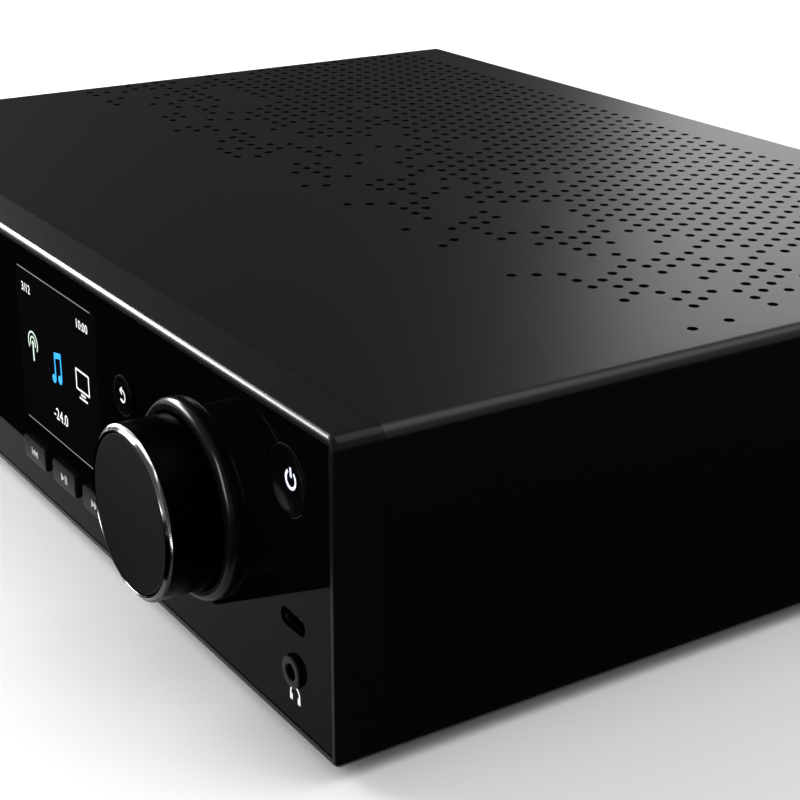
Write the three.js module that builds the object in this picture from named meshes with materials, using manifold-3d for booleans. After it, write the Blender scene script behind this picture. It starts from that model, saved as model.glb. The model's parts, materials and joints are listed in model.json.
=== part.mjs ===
// A compact stereo receiver, built as the separate pieces that come apart on a bench.
// Millimetres. X runs across the front to the right, Y runs from the front to the back and Z runs up.
// In the drawing below, y = 0 is the front face of the case and z = 0 is the surface it stands on.
import * as THREE from "three";
import { mergeVertices } from "three/addons/utils/BufferGeometryUtils.js";
import Module from "manifold-3d";

const wasm = await Module();
wasm.setup();

// Case
const caseWidth = 312;
const caseDepth = 230;
const caseHeight = 70;
const footHeight = 3; // the gap under the case
const sheet = 1.2; // steel of the cover, the tray and the rear panel
const bendRadius = 2.8; // the cover's folded top edges
const lowerRadius = 2; // the case's lower edges
const seatGap = 0.3; // air between pieces that rest on each other
const coverFlange = 9; // the cover's inward fold underneath
const rearRecess = 1; // the rear panel sits this far inside the cover's back edge
const cutSpare = 1; // how far a cutting tool runs past what it cuts
const joinDepth = 1; // how far one shape of a piece runs into the next
const touch = 0.1; // the same, where there is no depth to spare

// Flat sides that stand for a round piece
const roundSides = 24;
const smallSides = 16;
const knobSides = 48;
const nutSides = 6;

// Flat pieces to each round corner of an outline
const smallCurve = 2;
const bracketCurve = 3;
const plainCurve = 4;
const caseCurve = 5;
const mouthCurve = 6;
const edgeCurve = 3;

// Front frame and front panel
const frameDepth = 10.9;
const frameWall = 2;
const frameEdge = 1.2; // rounding round the front
const coverSeam = 0.5;
const ledgeWidth = 3;
const ledgeThickness = 2;
const panelThickness = 3;
const panelRecess = 0.2;
const panelBossRadius = 2.2;
const panelBossSink = 0.5; // how far a boss starts inside the panel
const bossRowInset = 3.5; // from the control board's edges to the bosses
const bossFromKnob = 24;
const bossBeforeDisplay = 6.4; // left of the display
const bossAfterDisplay = 7; // right of the display
const leastRadius = 0.5; // of any corner of the case's outline

// Front layout: insets are measured from the right edge, heights from the bottom of the case
const knobInset = 60;
const displayRightInset = 108;
const displayWidth = 49.6;
const displayTopMargin = 7.5;
const displayBottomMargin = 21.2;
const transportInset = 112.5; // the last of the three buttons
const transportPitch = 19;
const transportHeight = 12.7;
const backButtonInset = 91.9;
const backButtonDrop = 21.9; // down from the top of the case
const powerInset = 18.3;
const powerDrop = 15;
const usbInset = 17;
const usbHeight = 25.2;
const headphoneInset = 16.7;
const headphoneHeight = 14.3;

// Display
const displayCornerRadius = 2;
const moduleCornerRadius = 1;
const lensThickness = 1.6;
const moduleThickness = 3.9;
const moduleMargin = 1.8;
const bracketWall = 1.5;
const bracketPlate = 1.2;
const cableWindow = [24, 12];

// Buttons
const buttonTravel = 0.8;
const buttonGap = 0.2; // all round in the panel's holes
const buttonStand = 1; // how far the raised buttons stand out
const buttonFlange = 1; // the lip behind the panel, each side
const flangeThickness = 1.2;
const stemLength = 0.9;
const transportWidth = 14.4;
const transportTall = 6;
const transportCorner = 0.8;
const backButtonRadius = 4.85;
const powerRadius = 7.6;
const powerDish = 1;
const powerDishSteps = 3;
const dishShare = 0.9; // of the button's radius
const roundButtonEdge = 0.25;
const switchAir = 0.2; // between a switch and a button pressed home

// Control board behind the panel
const controlBoardFront = 11.3;
const boardThickness = 1.6;
const controlMargin = 6.5; // above and below
const controlRightMargin = 8;
const controlLeftMargin = 10.4; // past the display
const switchSize = 6;
const switchHeight = 3.4;
const plungerRadius = 1.6;

// Volume knob and its encoder
const knobRadius = 19.2;
const knobReach = 14.8; // the cap's face stands this far off the panel
const knobWall = 2.2;
const knobPanelGap = 1.4;
const knobPush = 0.8;
const rimDepth = 1.9;
const rimBevel = 1.4;
const rimGroove = 0.3;
const rimWidth = 1.55;
const rimLip = 0.25;
const rimStand = 0.1; // how far the rim stands in front of the cap's face
const capThickness = 1.7;
const capEdge = 0.2;
const hubRadius = 5.6;
const hubAir = 0.5; // between the hub and the bushing with the knob pushed home
const knobWeb = 2.2;
const collarWidth = 2.55;
const collarGap = 0.6;
const collarHeight = 2.6;
const collarRound = 1.8;
const collarLip = 0.4;
const collarSteps = 4;
const collarAir = 0.1; // off the panel's face
const shaftRadius = 3;
const shaftClearance = 0.1;
const shaftSocket = 0.9; // how far behind the rim the shaft ends
const shaftBackAir = 3;
const plungerStep = 0.2; // thinner than the shaft, and as far behind it
const plungerAir = 1.2;
const bushingRadius = 4.4;
const bushingReach = 5; // in front of the panel's face
const encoderWidth = 12;
const nutRadius = 6.4;
const nutThickness = 2.2;
const nutAir = 0.2; // off the panel's face
const nutClearance = 0.1;

// Front sockets
const usbWidth = 8.94;
const usbTall = 3.26;
const usbWall = 0.3;
const usbDepth = 6.6;
const usbSunk = 0.7; // behind the panel's face
const usbTongueRoot = 0.5; // how far the tongue is set into the back of the socket
const usbTongueWidth = 6.6;
const usbTongueThickness = 0.7;
const portRim = 0.35;
const headphoneRadius = 3.5;
const headphoneBore = 1.75;
const headphoneDepth = 9;
const headphoneBody = 11;
const headphoneTrim = 0.7; // its body is this much lower than wide, above and below

// Tray, boards and what stands on them
const trayWall = 14;
const standoffHeight = 6;
const standoffRadius = 3;
const boardInset = 5; // from a board's corner to its standoff
const boardSideMargin = 12;
const boardRearGap = 1;
const mainBoardWidth = 120;
const mainBoardDepth = 112;
const supplyBoardWidth = 104;
const supplyBoardDepth = 128;
const trayInset = 1;
const ventSlots = 9;
const ventSlotLength = 34;
const ventSlotWidth = 3;
const ventSlotPitch = 9;
const chipSize = 22;
const chipHeight = 3;
const sinkWidth = 62;
const sinkLength = 48;
const sinkBase = 4;
const sinkHeight = 26;
const sinkFins = 9;
const sinkFin = 1.8;
const sinkFromFront = 6; // from the main board's front edge
const transformerWidth = 54;
const transformerDepth = 44;
const transformerHeight = 36;
const transformerShift = 18; // left of the supply board's middle
const transformerFromFront = 30; // from the supply board's front edge to its middle
const coilWidth = 32;
const coilBulge = 5;
const coilStep = 5; // lower than the core, above and below
const capacitorRadius = 9;
const capacitorHeight = 30;
const capacitorPitch = 24;
const capacitorEdge = 0.8;
const capacitorGap = 6; // from the transformer
const tunerSize = [32, 26, 9];
const tunerSideGap = 4;
const networkSize = [38, 30, 5.5];
const moduleGap = 8;
const moduleToSocket = 20; // from the modules' middle to the network socket
const ribbonWidth = 24;
const ribbonThickness = 0.6;
const ribbonRise = 4; // above the case's middle at its front end
const ribbonLap = 8; // how far it lies on the main board
const ribbonDrop = 26; // how hard it bends down at the front
const ribbonRun = 34; // how far it runs level before the main board
const ribbonOut = 1;
const ribbonLift = 2;
const ribbonSteps = 14;

// Feet
const footRadius = 12;
const footInsetX = 34;
const footInsetY = 34;
const footTaper = 1;
const footScrewRadius = 1.8;
const footScrewHead = 3.6;
const footScrewHeadHeight = 1.4;
const footScrewSunk = 0.8;
const footScrewEnd = 2.5; // past the tray's floor
const screwClearance = 0.3;

// Rear sockets: insets are measured from the nearer side of the case
const socketReach = 1; // how far the noses stand out of the rear panel
const socketGap = 0.3;
const mainsInset = 30;
const mainsWidth = 24;
const mainsDepth = 22;
const mainsTall = 16;
const mainsMouth = [15.6, 8.2];
const mainsMouthDepth = 12;
const mainsPinRadius = 1.2;
const mainsPinSpacing = 8.6;
const mainsPinSunk = 2.5; // behind the inlet's face
const rcaInset = 100;
const rcaPitch = 14;
const rcaMargin = 8;
const rcaDepth = 14;
const rcaBarrel = 4.15;
const rcaBarrelLength = 8;
const rcaBore = 1.6;
const lanInset = 60;
const lanWidth = 16;
const lanTall = 13.6;
const lanDepth = 21;
const lanMouth = [11.8, 8.4];
const lanMouthDepth = 14;
const lanLatch = [6, 1.6];
const antennaInset = 26;
const antennaBody = 12;
const antennaRadius = 4.7;
const antennaLength = 10;
const antennaBore = 1;
const antennaBoreDepth = 6;

// Speaker terminals
const terminalInset = 95;
const terminalPitch = 19;
const terminalMargin = 10;
const terminalTall = 24;
const terminalPlate = 3;
const terminalPlateCorner = 2;
const terminalBossRadius = 6.8;
const terminalBoss = 3;
const terminalPeg = 4;
const terminalPegLength = 6;
const spindleRadius = 3;
const spindleBore = 1.95;
const spindleSolid = 2; // of its root, before the bore begins
const spindleSunk = 1; // inside the cap's end
const threadGap = 0.15;
const washerRadius = 6;
const washerThickness = 1.5;
const capRadius = 6.5;
const capLength = 12;
const capFlutes = 12;
const capFluteDepth = 0.5;

// Places that follow from the sizes above
const halfWidth = caseWidth / 2;
const caseBottom = footHeight;
const caseTop = caseBottom + caseHeight;
const caseMiddle = caseBottom + caseHeight / 2;
const panelFace = panelRecess;
const panelBack = panelFace + panelThickness;
const ledgeFront = panelBack + seatGap;
const ledgeBack = ledgeFront + ledgeThickness;
const controlBoardBack = controlBoardFront + boardThickness;
const trayBottom = caseBottom + frameWall + seatGap;
const trayFloor = trayBottom + sheet;
const trayHalfWidth = halfWidth - frameWall - seatGap;
const rearFace = caseDepth - rearRecess;
const rearInner = rearFace - sheet;
const boardBottom = trayFloor + standoffHeight + seatGap;
const boardTop = boardBottom + boardThickness;
const partSeat = boardTop + seatGap;
const boardRear = rearInner - boardRearGap;
const fromRight = (inset) => halfWidth - inset;
const fromLeft = (inset) => inset - halfWidth;
const knobX = fromRight(knobInset);
const displayHeight = caseHeight - displayTopMargin - displayBottomMargin;
const displayX = fromRight(displayRightInset + displayWidth / 2);
const displayZ = caseBottom + displayBottomMargin + displayHeight / 2;
const moduleFront = panelFace + lensThickness + seatGap;
const moduleBack = moduleFront + moduleThickness;
const buttonFront = panelFace - buttonStand;
const flangeFront = panelBack + seatGap;
const stemEnd = flangeFront + flangeThickness + stemLength;
const switchNose = stemEnd + buttonTravel + switchAir;
const capFace = panelFace - knobReach;
const rimFront = capFace - rimStand;
const rimBack = capFace + rimDepth;
const controlLeft = displayX - displayWidth / 2 - controlLeftMargin;
const controlRight = halfWidth - controlRightMargin;
const mainBoardX = fromRight(boardSideMargin + mainBoardWidth / 2);
const mainBoardFront = boardRear - mainBoardDepth;
const supplyBoardX = fromLeft(boardSideMargin + supplyBoardWidth / 2);
const supplyBoardFront = boardRear - supplyBoardDepth;
const terminalX = fromLeft(terminalInset);
const terminalHalfSpan = (terminalPitch * 3) / 2;
const bossFace = rearFace + seatGap + terminalPlate + terminalBoss;
const washerFront = bossFace + seatGap;
const capFront = washerFront + washerThickness + seatGap;
const rearReach = capFront + capLength;

const colours = {
  coverSteel: new THREE.MeshStandardMaterial({ color: 0x17181a, roughness: 0.5, metalness: 0.6 }),
  frameMetal: new THREE.MeshStandardMaterial({ color: 0x1d1e20, roughness: 0.45, metalness: 0.6 }),
  gloss: new THREE.MeshStandardMaterial({ color: 0x08080a, roughness: 0.08, metalness: 0 }),
  glass: new THREE.MeshStandardMaterial({ color: 0x050608, roughness: 0.03, metalness: 0 }),
  satin: new THREE.MeshStandardMaterial({ color: 0x101012, roughness: 0.4, metalness: 0 }),
  knobFace: new THREE.MeshStandardMaterial({ color: 0x2b2b2d, roughness: 0.45, metalness: 0.7 }),
  chrome: new THREE.MeshStandardMaterial({ color: 0xd8dadd, roughness: 0.12, metalness: 1 }),
  steel: new THREE.MeshStandardMaterial({ color: 0xa7abb0, roughness: 0.35, metalness: 1 }),
  zinc: new THREE.MeshStandardMaterial({ color: 0x8d9296, roughness: 0.45, metalness: 0.9 }),
  aluminium: new THREE.MeshStandardMaterial({ color: 0xb4b7ba, roughness: 0.4, metalness: 1 }),
  board: new THREE.MeshStandardMaterial({ color: 0x1f5b3a, roughness: 0.5, metalness: 0 }),
  nylon: new THREE.MeshStandardMaterial({ color: 0x1a1a1c, roughness: 0.55, metalness: 0 }),
  rubber: new THREE.MeshStandardMaterial({ color: 0x0e0e0f, roughness: 0.85, metalness: 0 }),
  copper: new THREE.MeshStandardMaterial({ color: 0xb5672f, roughness: 0.4, metalness: 0.8 }),
  sleeve: new THREE.MeshStandardMaterial({ color: 0x20242c, roughness: 0.35, metalness: 0 }),
  ribbon: new THREE.MeshStandardMaterial({ color: 0xd9d9d6, roughness: 0.5, metalness: 0 }),
  red: new THREE.MeshStandardMaterial({ color: 0xa31217, roughness: 0.35, metalness: 0 }),
  gold: new THREE.MeshStandardMaterial({ color: 0xc9a04a, roughness: 0.25, metalness: 1 }),
};

const receiver = new THREE.Group();

// Adds one named piece to the receiver.
function addPiece(name, shape, colour) {
  const mesh = new THREE.Mesh(shape.isBufferGeometry ? shape : toGeometry(shape), colours[colour]);
  mesh.name = name;
  receiver.add(mesh);
}

// A closed geometry as a solid that can be joined and cut.
function toSolid(geometry) {
  const bare = geometry.index ? geometry.toNonIndexed() : geometry.clone();
  bare.deleteAttribute("normal");
  bare.deleteAttribute("uv");
  const merged = mergeVertices(bare, 1e-4);
  return new wasm.Manifold(
    new wasm.Mesh({
      numProp: 3,
      vertProperties: merged.attributes.position.array,
      triVerts: new Uint32Array(merged.index.array),
    }),
  );
}

function toGeometry(solid) {
  const made = solid.getMesh();
  const geometry = new THREE.BufferGeometry();
  geometry.setAttribute("position", new THREE.BufferAttribute(made.vertProperties, 3));
  geometry.setIndex(new THREE.BufferAttribute(made.triVerts, 1));
  geometry.computeVertexNormals();
  return geometry;
}

const join = (...geometries) => geometries.map(asSolid).reduce((whole, next) => whole.add(next));
const cut = (base, ...tools) =>
  tools.map(asSolid).reduce((left, tool) => left.subtract(tool), asSolid(base));

function asSolid(shape) {
  return shape.isBufferGeometry ? toSolid(shape) : shape;
}

// A box between two corners.
function block(x0, x1, y0, y1, z0, z1) {
  const geometry = new THREE.BoxGeometry(x1 - x0, y1 - y0, z1 - z0);
  return geometry.translate((x0 + x1) / 2, (y0 + y1) / 2, (z0 + z1) / 2);
}

// A box that stands on a level, centred on x and y.
function standing(x, y, z, [width, depth, height]) {
  return block(x - width / 2, x + width / 2, y - depth / 2, y + depth / 2, z, z + height);
}

// A shape drawn as seen from the front, made solid between two depths.
function upright(shape, front, back, curveSegments = plainCurve) {
  const options = { depth: back - front, bevelEnabled: false, curveSegments };
  return new THREE.ExtrudeGeometry(shape, options).rotateX(Math.PI / 2).translate(0, back, 0);
}

// A shape drawn as seen from the right side, y across and z up, made solid between two widths.
function sideways(shape, x0, x1) {
  const options = { depth: x1 - x0, bevelEnabled: false, curveSegments: plainCurve };
  const turned = new THREE.Matrix4().makeBasis(
    new THREE.Vector3(0, 1, 0),
    new THREE.Vector3(0, 0, 1),
    new THREE.Vector3(1, 0, 0),
  );
  return new THREE.ExtrudeGeometry(shape, options).applyMatrix4(turned).translate(x0, 0, 0);
}

// A closed outline of [radius, y] points turned about the line through x and z that runs front to back.
function turned(profile, x, z, segments = roundSides) {
  const closed = [...profile, profile[0]].map(([radius, along]) => new THREE.Vector2(radius, along));
  return new THREE.LatheGeometry(closed, segments).translate(x, 0, z);
}

// The same, with an upright axis: [radius, z] points.
function turnedUp(profile, x, y, segments = roundSides) {
  const level = profile.map(([radius, height]) => [radius, -height]).reverse();
  const closed = [...level, level[0]].map(([radius, along]) => new THREE.Vector2(radius, along));
  return new THREE.LatheGeometry(closed, segments).rotateX(-Math.PI / 2).translate(x, y, 0);
}

// A rod or a plain hole along Y.
function rod(radius, front, back, x, z, segments = roundSides) {
  return turned([[0, front], [radius, front], [radius, back], [0, back]], x, z, segments);
}

// A rectangle with rounded corners, seen from the front.
function rounded(x, z, width, height, radius, lower = radius) {
  const left = x - width / 2;
  const right = x + width / 2;
  const low = z - height / 2;
  const high = z + height / 2;
  const shape = new THREE.Shape();
  shape.moveTo(left + lower, low);
  shape.lineTo(right - lower, low);
  shape.absarc(right - lower, low + lower, lower, -Math.PI / 2, 0, false);
  shape.lineTo(right, high - radius);
  shape.absarc(right - radius, high - radius, radius, 0, Math.PI / 2, false);
  shape.lineTo(left + radius, high);
  shape.absarc(left + radius, high - radius, radius, Math.PI / 2, Math.PI, false);
  shape.lineTo(left, low + lower);
  shape.absarc(left + lower, low + lower, lower, Math.PI, Math.PI * 1.5, false);
  return shape;
}

// The case's outline, drawn in by a wall's thickness.
function caseOutline(inset) {
  const high = Math.max(bendRadius - inset, leastRadius);
  const low = Math.max(lowerRadius - inset, leastRadius);
  return rounded(0, caseMiddle, caseWidth - 2 * inset, caseHeight - 2 * inset, high, low);
}

// Case: the frame, the panel, the cover, the tray and the rear panel

function frontFrame() {
  const options = {
    depth: frameDepth,
    bevelEnabled: true,
    bevelThickness: frameEdge,
    bevelSize: frameEdge,
    bevelOffset: -frameEdge,
    bevelSegments: edgeCurve,
    curveSegments: caseCurve,
  };
  // The bevel stands out of both ends: the front one stays and the back one is cut away.
  const billet = new THREE.ExtrudeGeometry(caseOutline(0), options)
    .rotateX(Math.PI / 2)
    .translate(0, frameDepth + frameEdge, 0);
  const past = frameDepth + 2 * frameEdge + cutSpare;
  const behind = block(-caseWidth, caseWidth, frameDepth, past, -caseHeight, caseHeight * 2);
  const pocket = upright(caseOutline(frameWall), -cutSpare, ledgeFront);
  const window = upright(caseOutline(frameWall + ledgeWidth), -cutSpare, past);
  const hollow = upright(caseOutline(frameWall), ledgeBack, past);
  return cut(billet, behind, pocket, window, hollow);
}

const roundButtons = [
  { name: "power_button", x: fromRight(powerInset), z: caseTop - powerDrop, radius: powerRadius },
  {
    name: "back_button",
    x: fromRight(backButtonInset),
    z: caseTop - backButtonDrop,
    radius: backButtonRadius,
  },
];

const transportButtons = ["previous", "play", "next"].map((word, index) => ({
  name: word + "_button",
  x: fromRight(transportInset + transportPitch * (2 - index)),
  z: caseBottom + transportHeight,
}));

const usb = { x: fromRight(usbInset), z: caseBottom + usbHeight };
const headphone = { x: fromRight(headphoneInset), z: caseBottom + headphoneHeight };

function panelBosses() {
  const columns = [
    knobX + bossFromKnob,
    fromRight(displayRightInset - bossAfterDisplay),
    displayX - displayWidth / 2 - bossBeforeDisplay,
  ];
  const rows = [caseBottom + controlMargin + bossRowInset, caseTop - controlMargin - bossRowInset];
  const start = panelBack - panelBossSink;
  const end = controlBoardFront - seatGap;
  return columns.flatMap((x) => rows.map((z) => rod(panelBossRadius, start, end, x, z, smallSides)));
}

function frontPanel() {
  const front = panelFace - cutSpare;
  const back = panelBack + cutSpare;
  const wider = 2 * buttonGap;
  const sheetOutline = caseOutline(frameWall + seatGap);
  const lensHole = rounded(
    displayX,
    displayZ,
    displayWidth + wider,
    displayHeight + wider,
    displayCornerRadius + buttonGap,
  );
  const transportHoles = transportButtons.map(({ x, z }) =>
    upright(
      rounded(x, z, transportWidth + wider, transportTall + wider, transportCorner + buttonGap),
      front,
      back,
      smallCurve,
    ),
  );
  const roundHoles = roundButtons.map(({ x, z, radius }) => rod(radius + buttonGap, front, back, x, z));
  const usbTallest = usbTall + 2 * portRim;
  const usbOutline = rounded(usb.x, usb.z, usbWidth + 2 * portRim, usbTallest, usbTallest / 2);
  return cut(
    join(upright(sheetOutline, panelFace, panelBack), ...panelBosses()),
    upright(lensHole, front, back),
    ...transportHoles,
    ...roundHoles,
    upright(usbOutline, front, back),
    rod(headphoneRadius + buttonGap, front, back, headphone.x, headphone.z),
    rod(bushingRadius + buttonGap, front, back, knobX, caseMiddle),
  );
}

function topCover() {
  const flangeX = halfWidth - coverFlange;
  const side = halfWidth;
  const inner = bendRadius - sheet;
  const lower = lowerRadius - sheet;
  const shape = new THREE.Shape();
  shape.moveTo(flangeX, caseBottom);
  shape.lineTo(side - lowerRadius, caseBottom);
  shape.absarc(side - lowerRadius, caseBottom + lowerRadius, lowerRadius, -Math.PI / 2, 0, false);
  shape.lineTo(side, caseTop - bendRadius);
  shape.absarc(side - bendRadius, caseTop - bendRadius, bendRadius, 0, Math.PI / 2, false);
  shape.lineTo(-side + bendRadius, caseTop);
  shape.absarc(-side + bendRadius, caseTop - bendRadius, bendRadius, Math.PI / 2, Math.PI, false);
  shape.lineTo(-side, caseBottom + lowerRadius);
  shape.absarc(-side + lowerRadius, caseBottom + lowerRadius, lowerRadius, Math.PI, Math.PI * 1.5, false);
  shape.lineTo(-flangeX, caseBottom);
  shape.lineTo(-flangeX, caseBottom + sheet);
  shape.lineTo(-side + lowerRadius, caseBottom + sheet);
  shape.absarc(-side + lowerRadius, caseBottom + lowerRadius, lower, Math.PI * 1.5, Math.PI, true);
  shape.lineTo(-side + sheet, caseTop - bendRadius);
  shape.absarc(-side + bendRadius, caseTop - bendRadius, inner, Math.PI, Math.PI / 2, true);
  shape.lineTo(side - bendRadius, caseTop - sheet);
  shape.absarc(side - bendRadius, caseTop - bendRadius, inner, Math.PI / 2, 0, true);
  shape.lineTo(side - sheet, caseBottom + lowerRadius);
  shape.absarc(side - lowerRadius, caseBottom + lowerRadius, lower, 0, -Math.PI / 2, true);
  shape.lineTo(flangeX, caseBottom + sheet);
  return upright(shape, frameDepth + coverSeam, caseDepth, caseCurve);
}

const footPlaces = [
  { name: "front_left", x: fromLeft(footInsetX), y: footInsetY },
  { name: "front_right", x: fromRight(footInsetX), y: footInsetY },
  { name: "rear_left", x: fromLeft(footInsetX), y: caseDepth - footInsetY },
  { name: "rear_right", x: fromRight(footInsetX), y: caseDepth - footInsetY },
];

const boards = [
  { name: "main_board", x: mainBoardX, width: mainBoardWidth, front: mainBoardFront },
  { name: "supply_board", x: supplyBoardX, width: supplyBoardWidth, front: supplyBoardFront },
];

function baseTray() {
  const front = ledgeBack + trayInset;
  const back = rearInner - seatGap;
  const wallTop = trayBottom + trayWall;
  const holeLow = trayBottom - cutSpare;
  const holeHigh = trayFloor + cutSpare;
  const pan = cut(
    block(-trayHalfWidth, trayHalfWidth, front, back, trayBottom, wallTop),
    block(
      -trayHalfWidth + sheet,
      trayHalfWidth - sheet,
      front - cutSpare,
      back + cutSpare,
      trayFloor,
      wallTop + cutSpare,
    ),
  );
  const standoffs = boards.flatMap(({ x, width, front: boardFront }) =>
    [x - width / 2 + boardInset, x + width / 2 - boardInset].flatMap((postX) =>
      [boardFront + boardInset, boardRear - boardInset].map((postY) => {
        const low = trayBottom + touch;
        const top = trayFloor + standoffHeight;
        const post = [[0, low], [standoffRadius, low], [standoffRadius, top], [0, top]];
        return turnedUp(post, postX, postY, smallSides / 2);
      }),
    ),
  );
  const screwHoles = footPlaces.map(({ x, y }) => {
    const radius = footScrewRadius + screwClearance;
    const hole = [[0, holeLow], [radius, holeLow], [radius, holeHigh], [0, holeHigh]];
    return turnedUp(hole, x, y, smallSides);
  });
  const slots = Array.from({ length: ventSlots }, (_, index) => {
    const x = (index - (ventSlots - 1) / 2) * ventSlotPitch;
    const y = caseDepth / 2;
    return block(
      x - ventSlotWidth / 2,
      x + ventSlotWidth / 2,
      y - ventSlotLength / 2,
      y + ventSlotLength / 2,
      holeLow,
      holeHigh,
    );
  });
  return cut(join(pan, ...standoffs), ...screwHoles, ...slots);
}

// Rear sockets' places, shared by the sockets and by the holes in the rear panel
const mains = { x: fromLeft(mainsInset), z: partSeat + mainsTall / 2 };
const rca = { x: fromRight(rcaInset), z: partSeat + rcaPitch / 2 + rcaMargin };
const lan = { x: fromRight(lanInset), z: partSeat + lanTall / 2 };
const antenna = { x: fromRight(antennaInset), z: partSeat + antennaBody / 2 };
const rcaPlaces = [-1, 1].flatMap((column) =>
  [-1, 1].map((row) => ({ x: rca.x + (column * rcaPitch) / 2, z: rca.z + (row * rcaPitch) / 2 })),
);
const terminalPlaces = ["left_minus", "left_plus", "right_minus", "right_plus"].map((name, index) => ({
  name,
  x: terminalX + index * terminalPitch - terminalHalfSpan,
  colour: name.endsWith("plus") ? "red" : "nylon",
}));

function rearPanel() {
  const front = rearInner - cutSpare;
  const back = rearFace + cutSpare;
  const socketHole = ({ x, z }, width, height) =>
    block(
      x - width / 2 - socketGap,
      x + width / 2 + socketGap,
      front,
      back,
      z - height / 2 - socketGap,
      z + height / 2 + socketGap,
    );
  return cut(
    upright(caseOutline(sheet + seatGap), rearInner, rearFace),
    socketHole(mains, mainsWidth, mainsTall),
    socketHole(lan, lanWidth, lanTall),
    ...rcaPlaces.map(({ x, z }) => rod(rcaBarrel + socketGap, front, back, x, z, smallSides)),
    rod(antennaRadius + socketGap, front, back, antenna.x, antenna.z, smallSides),
    ...terminalPlaces.map(({ x }) => rod(terminalPeg + socketGap, front, back, x, caseMiddle, smallSides)),
  );
}

// Feet and their screws

function foot(x, y) {
  const top = trayBottom - seatGap;
  const hole = footScrewRadius + screwClearance;
  const recess = footScrewHead + screwClearance;
  const shoulder = footScrewSunk + footScrewHeadHeight + screwClearance;
  const profile = [
    [recess, 0],
    [footRadius - footTaper, 0],
    [footRadius, footTaper],
    [footRadius, top],
    [hole, top],
    [hole, shoulder],
    [recess, shoulder],
  ];
  return turnedUp(profile, x, y);
}

function footScrew(x, y) {
  const head = footScrewSunk + footScrewHeadHeight;
  const end = trayFloor + footScrewEnd;
  const profile = [
    [0, footScrewSunk],
    [footScrewHead, footScrewSunk],
    [footScrewHead, head],
    [footScrewRadius, head],
    [footScrewRadius, end],
    [0, end],
  ];
  return turnedUp(profile, x, y, smallSides);
}

// Display

function displayBracket() {
  const outer = rounded(
    displayX,
    displayZ,
    displayWidth + 2 * bracketWall,
    displayHeight + 2 * bracketWall,
    displayCornerRadius,
  );
  const inner = rounded(displayX, displayZ, displayWidth, displayHeight, displayCornerRadius);
  const back = controlBoardFront - seatGap;
  const plateFront = moduleBack + seatGap;
  const [cableWidth, cableTall] = cableWindow;
  const cable = block(
    displayX - cableWidth / 2,
    displayX + cableWidth / 2,
    plateFront - cutSpare,
    back,
    displayZ - cableTall / 2,
    displayZ + cableTall / 2,
  );
  return cut(
    upright(outer, panelBack + seatGap, back, bracketCurve),
    upright(inner, panelBack, plateFront, bracketCurve),
    upright(inner, plateFront + bracketPlate, back + cutSpare, bracketCurve),
    cable,
  );
}

// Buttons: a cap through the panel, a lip behind it and a stem to the switch

function roundButton({ x, z, radius }, front, dish) {
  const lip = radius + buttonFlange;
  const lipBack = flangeFront + flangeThickness;
  const steps = dish ? powerDishSteps : 0;
  const bowl = Array.from({ length: steps + 1 }, (_, step) => {
    const share = step / Math.max(steps, 1);
    return [radius * dishShare * share, front + dish * (1 - share * share)];
  });
  const profile = [
    ...bowl,
    [radius - roundButtonEdge, front],
    [radius, front + roundButtonEdge],
    [radius, flangeFront],
    [lip, flangeFront],
    [lip, lipBack],
    [plungerRadius, lipBack],
    [plungerRadius, stemEnd],
    [0, stemEnd],
  ];
  return turned(profile, x, z);
}

function transportButton({ x, z }) {
  const face = rounded(x, z, transportWidth, transportTall, transportCorner);
  const lipWidth = transportWidth + 2 * buttonFlange;
  const lip = rounded(x, z, lipWidth, transportTall + 2 * buttonFlange, transportCorner);
  const lipBack = flangeFront + flangeThickness;
  return join(
    upright(face, buttonFront, flangeFront + touch, smallCurve),
    upright(lip, flangeFront, lipBack, smallCurve),
    rod(plungerRadius, lipBack - touch, stemEnd, x, z, smallSides),
  );
}

function tactSwitch({ x, z }) {
  const back = controlBoardFront - seatGap;
  const half = switchSize / 2;
  return join(
    block(x - half, x + half, back - switchHeight, back, z - half, z + half),
    rod(plungerRadius, switchNose, back - joinDepth, x, z, smallSides),
  );
}

// Knob: skirt, rim and cap turn and push together on the encoder's shaft

const hubBack = panelFace - bushingReach - knobPush - hubAir;
const shaftFront = rimBack + shaftSocket;

function knobSkirt() {
  const back = panelFace - knobPanelGap;
  const front = rimBack + seatGap;
  const web = front + knobWeb;
  const bore = shaftRadius + shaftClearance;
  const profile = [
    [0, front],
    [knobRadius, front],
    [knobRadius, back],
    [knobRadius - knobWall, back],
    [knobRadius - knobWall, web],
    [hubRadius, web],
    [hubRadius, hubBack],
    [bore, hubBack],
    [bore, shaftFront - seatGap],
    [0, shaftFront - seatGap],
  ];
  return turned(profile, knobX, caseMiddle, knobSides);
}

function knobRim() {
  const inner = knobRadius - rimWidth;
  const profile = [
    [inner, rimFront],
    [inner + rimLip, rimFront],
    [knobRadius, rimFront + rimBevel],
    [knobRadius, rimBack],
    [inner, rimBack],
  ];
  return turned(profile, knobX, caseMiddle, knobSides);
}

function knobCap() {
  const radius = knobRadius - rimWidth - rimGroove;
  const back = capFace + capThickness;
  const profile = [
    [0, capFace],
    [radius - capEdge, capFace],
    [radius, capFace + capEdge],
    [radius, back],
    [0, back],
  ];
  return turned(profile, knobX, caseMiddle, knobSides);
}

function knobCollar() {
  const inner = knobRadius + collarGap;
  const outer = inner + collarWidth;
  const back = panelFace - collarAir;
  const front = panelFace - collarHeight;
  const crown = Array.from({ length: collarSteps + 1 }, (_, step) => {
    const angle = (step / collarSteps) * (Math.PI / 2);
    return [outer - collarRound * (1 - Math.sin(angle)), front + collarRound * (1 - Math.cos(angle))];
  });
  const lip = [[inner, front + collarLip], [inner + collarLip, front]];
  return turned([...lip, ...crown, [outer, back], [inner, back]], knobX, caseMiddle, knobSides);
}

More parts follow.
